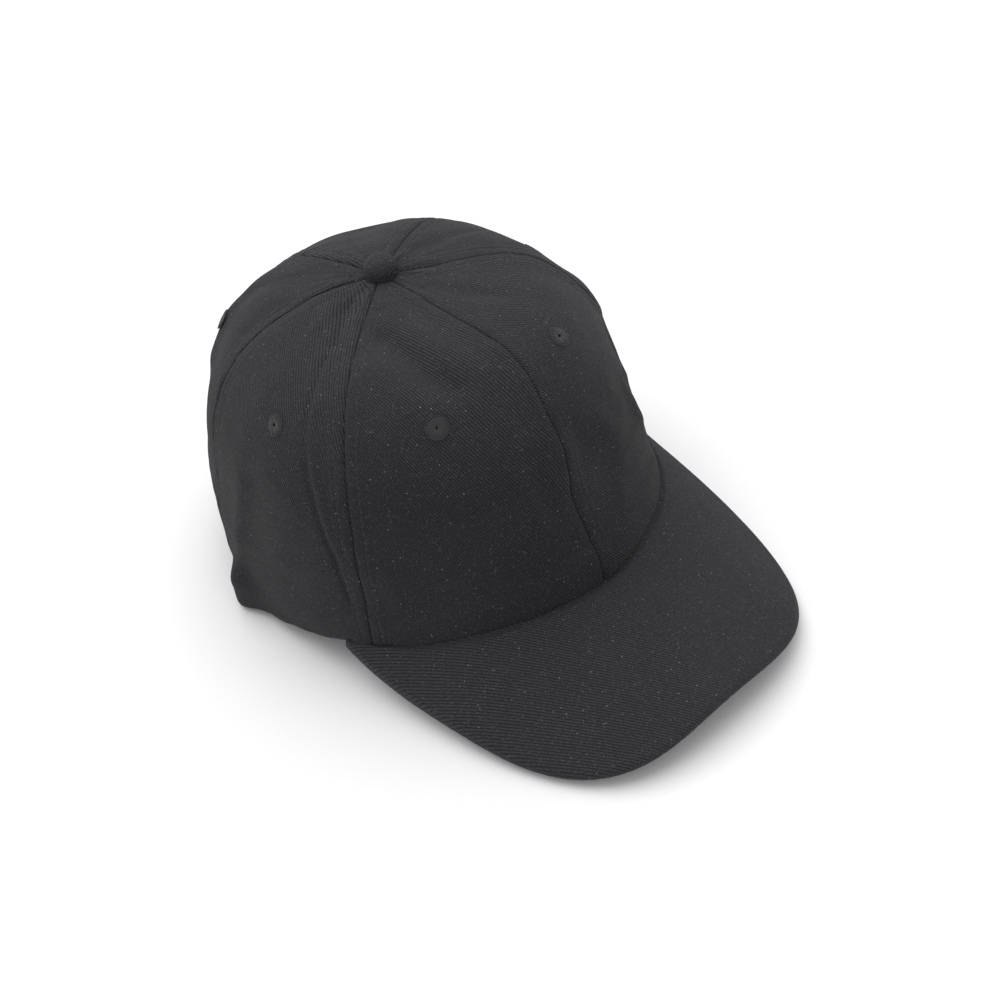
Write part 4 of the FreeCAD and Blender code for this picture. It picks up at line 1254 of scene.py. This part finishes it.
# %% Metal
nickel = Shader("buckle_nickel", Metallic=1.0)
worn_metal = nickel.noise(400, 4.0)
NICKEL_LOW, NICKEL_HIGH = (0.42, 0.41, 0.40, 1), (0.58, 0.57, 0.56, 1)
nickel.feed(Base_Color=nickel.mix(worn_metal, NICKEL_LOW, NICKEL_HIGH), Roughness=0.25 * worn_metal + 0.2)
nickel.bump(nickel.noise(900, 3.0, stretch=(1, 1, 6)), 0.02 * MM)
steel = Shader("button_steel", Metallic=1.0, Roughness=0.42, Base_Color=(0.45, 0.45, 0.46, 1))
METALS = {
    nickel: ("buckle_frame", "buckle_lever", "buckle_hinge_pin"),
    steel: ("button_core", "button_washer", "button_rivet"),
}
for shader, names in METALS.items():
    for name in names:
        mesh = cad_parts[name].data
        mesh.materials.clear()
        mesh.materials.append(shader.material)
print("metal pieces", sum(map(len, METALS.values())))

# %% [markdown]
# ## Studio
# A pale floor, an even white world and one large soft lamp overhead give the flat light of a product table.
# The lamp stands a little behind the cap, so the top is the brightest part and the front wall falls darker.
# The camera is placed by its angles round the cap, which makes it easy to turn without losing the framing.

# %% Floor and light
WORLD_LIGHT = 0.7
FLOOR_HALF = 4.0
LAMP_SPOT, LAMP_SIZE, LAMP_POWER = (0.1, 0.28, 1.3), 1.6, 13.5


def studio():
    world = bpy.data.worlds.new("studio")
    world.use_nodes = True
    world.node_tree.nodes["Background"].inputs[0].default_value = (1, 1, 1, 1)
    world.node_tree.nodes["Background"].inputs[1].default_value = WORLD_LIGHT
    scene.world = world
    mesh = bpy.data.meshes.new("floor")
    corners = [(x * FLOOR_HALF, y * FLOOR_HALF, 0) for x, y in ((-1, -1), (1, -1), (1, 1), (-1, 1))]
    mesh.from_pydata(corners, [], [(0, 1, 2, 3)])
    floor = bpy.data.objects.new("floor", mesh)
    scene.collection.objects.link(floor)
    shader = Shader("floor_white", Roughness=0.9, Base_Color=(0.955, 0.955, 0.955, 1))
    mesh.materials.append(shader.material)
    light = bpy.data.lights.new("overhead", "AREA")
    light.size = LAMP_SIZE
    light.energy = LAMP_POWER
    lamp = bpy.data.objects.new("overhead", light)
    scene.collection.objects.link(lamp)
    lamp.location = LAMP_SPOT
    lamp.rotation_euler = (-Vector(LAMP_SPOT)).to_track_quat("-Z", "Y").to_euler()
    scene.view_settings.view_transform = "Standard"
    scene.view_settings.look = "None"


studio()
print("floor", 2 * FLOOR_HALF, "m, lamp", LAMP_POWER, "W")


# %% Camera
def camera_at(azimuth, elevation, roll, distance, target, lens):
    """A camera from its angles round the cap, in degrees, rolled about its own axis."""
    turn, lift = math.radians(azimuth), math.radians(elevation)
    back = Vector((math.sin(turn) * math.cos(lift), -math.cos(turn) * math.cos(lift), math.sin(lift)))
    level = Vector((math.cos(turn), math.sin(turn), 0))
    upright = back.cross(level)
    lean = math.radians(roll)
    right = level * math.cos(lean) + upright * math.sin(lean)
    top = upright * math.cos(lean) - level * math.sin(lean)
    data = bpy.data.cameras.new("camera")
    data.lens = lens
    data.clip_start = 0.01
    item = bpy.data.objects.new("camera", data)
    scene.collection.objects.link(item)
    pose = Matrix((right, top, back)).transposed().to_4x4()
    pose.translation = Vector(target) + back * distance
    item.matrix_world = pose
    scene.camera = item


camera_at(-35.0, 43.0, -10.4, 0.7193, (0.0134, -0.020, 0.0177), 63.04)
print("camera at", [round(v, 3) for v in scene.camera.matrix_world.translation])
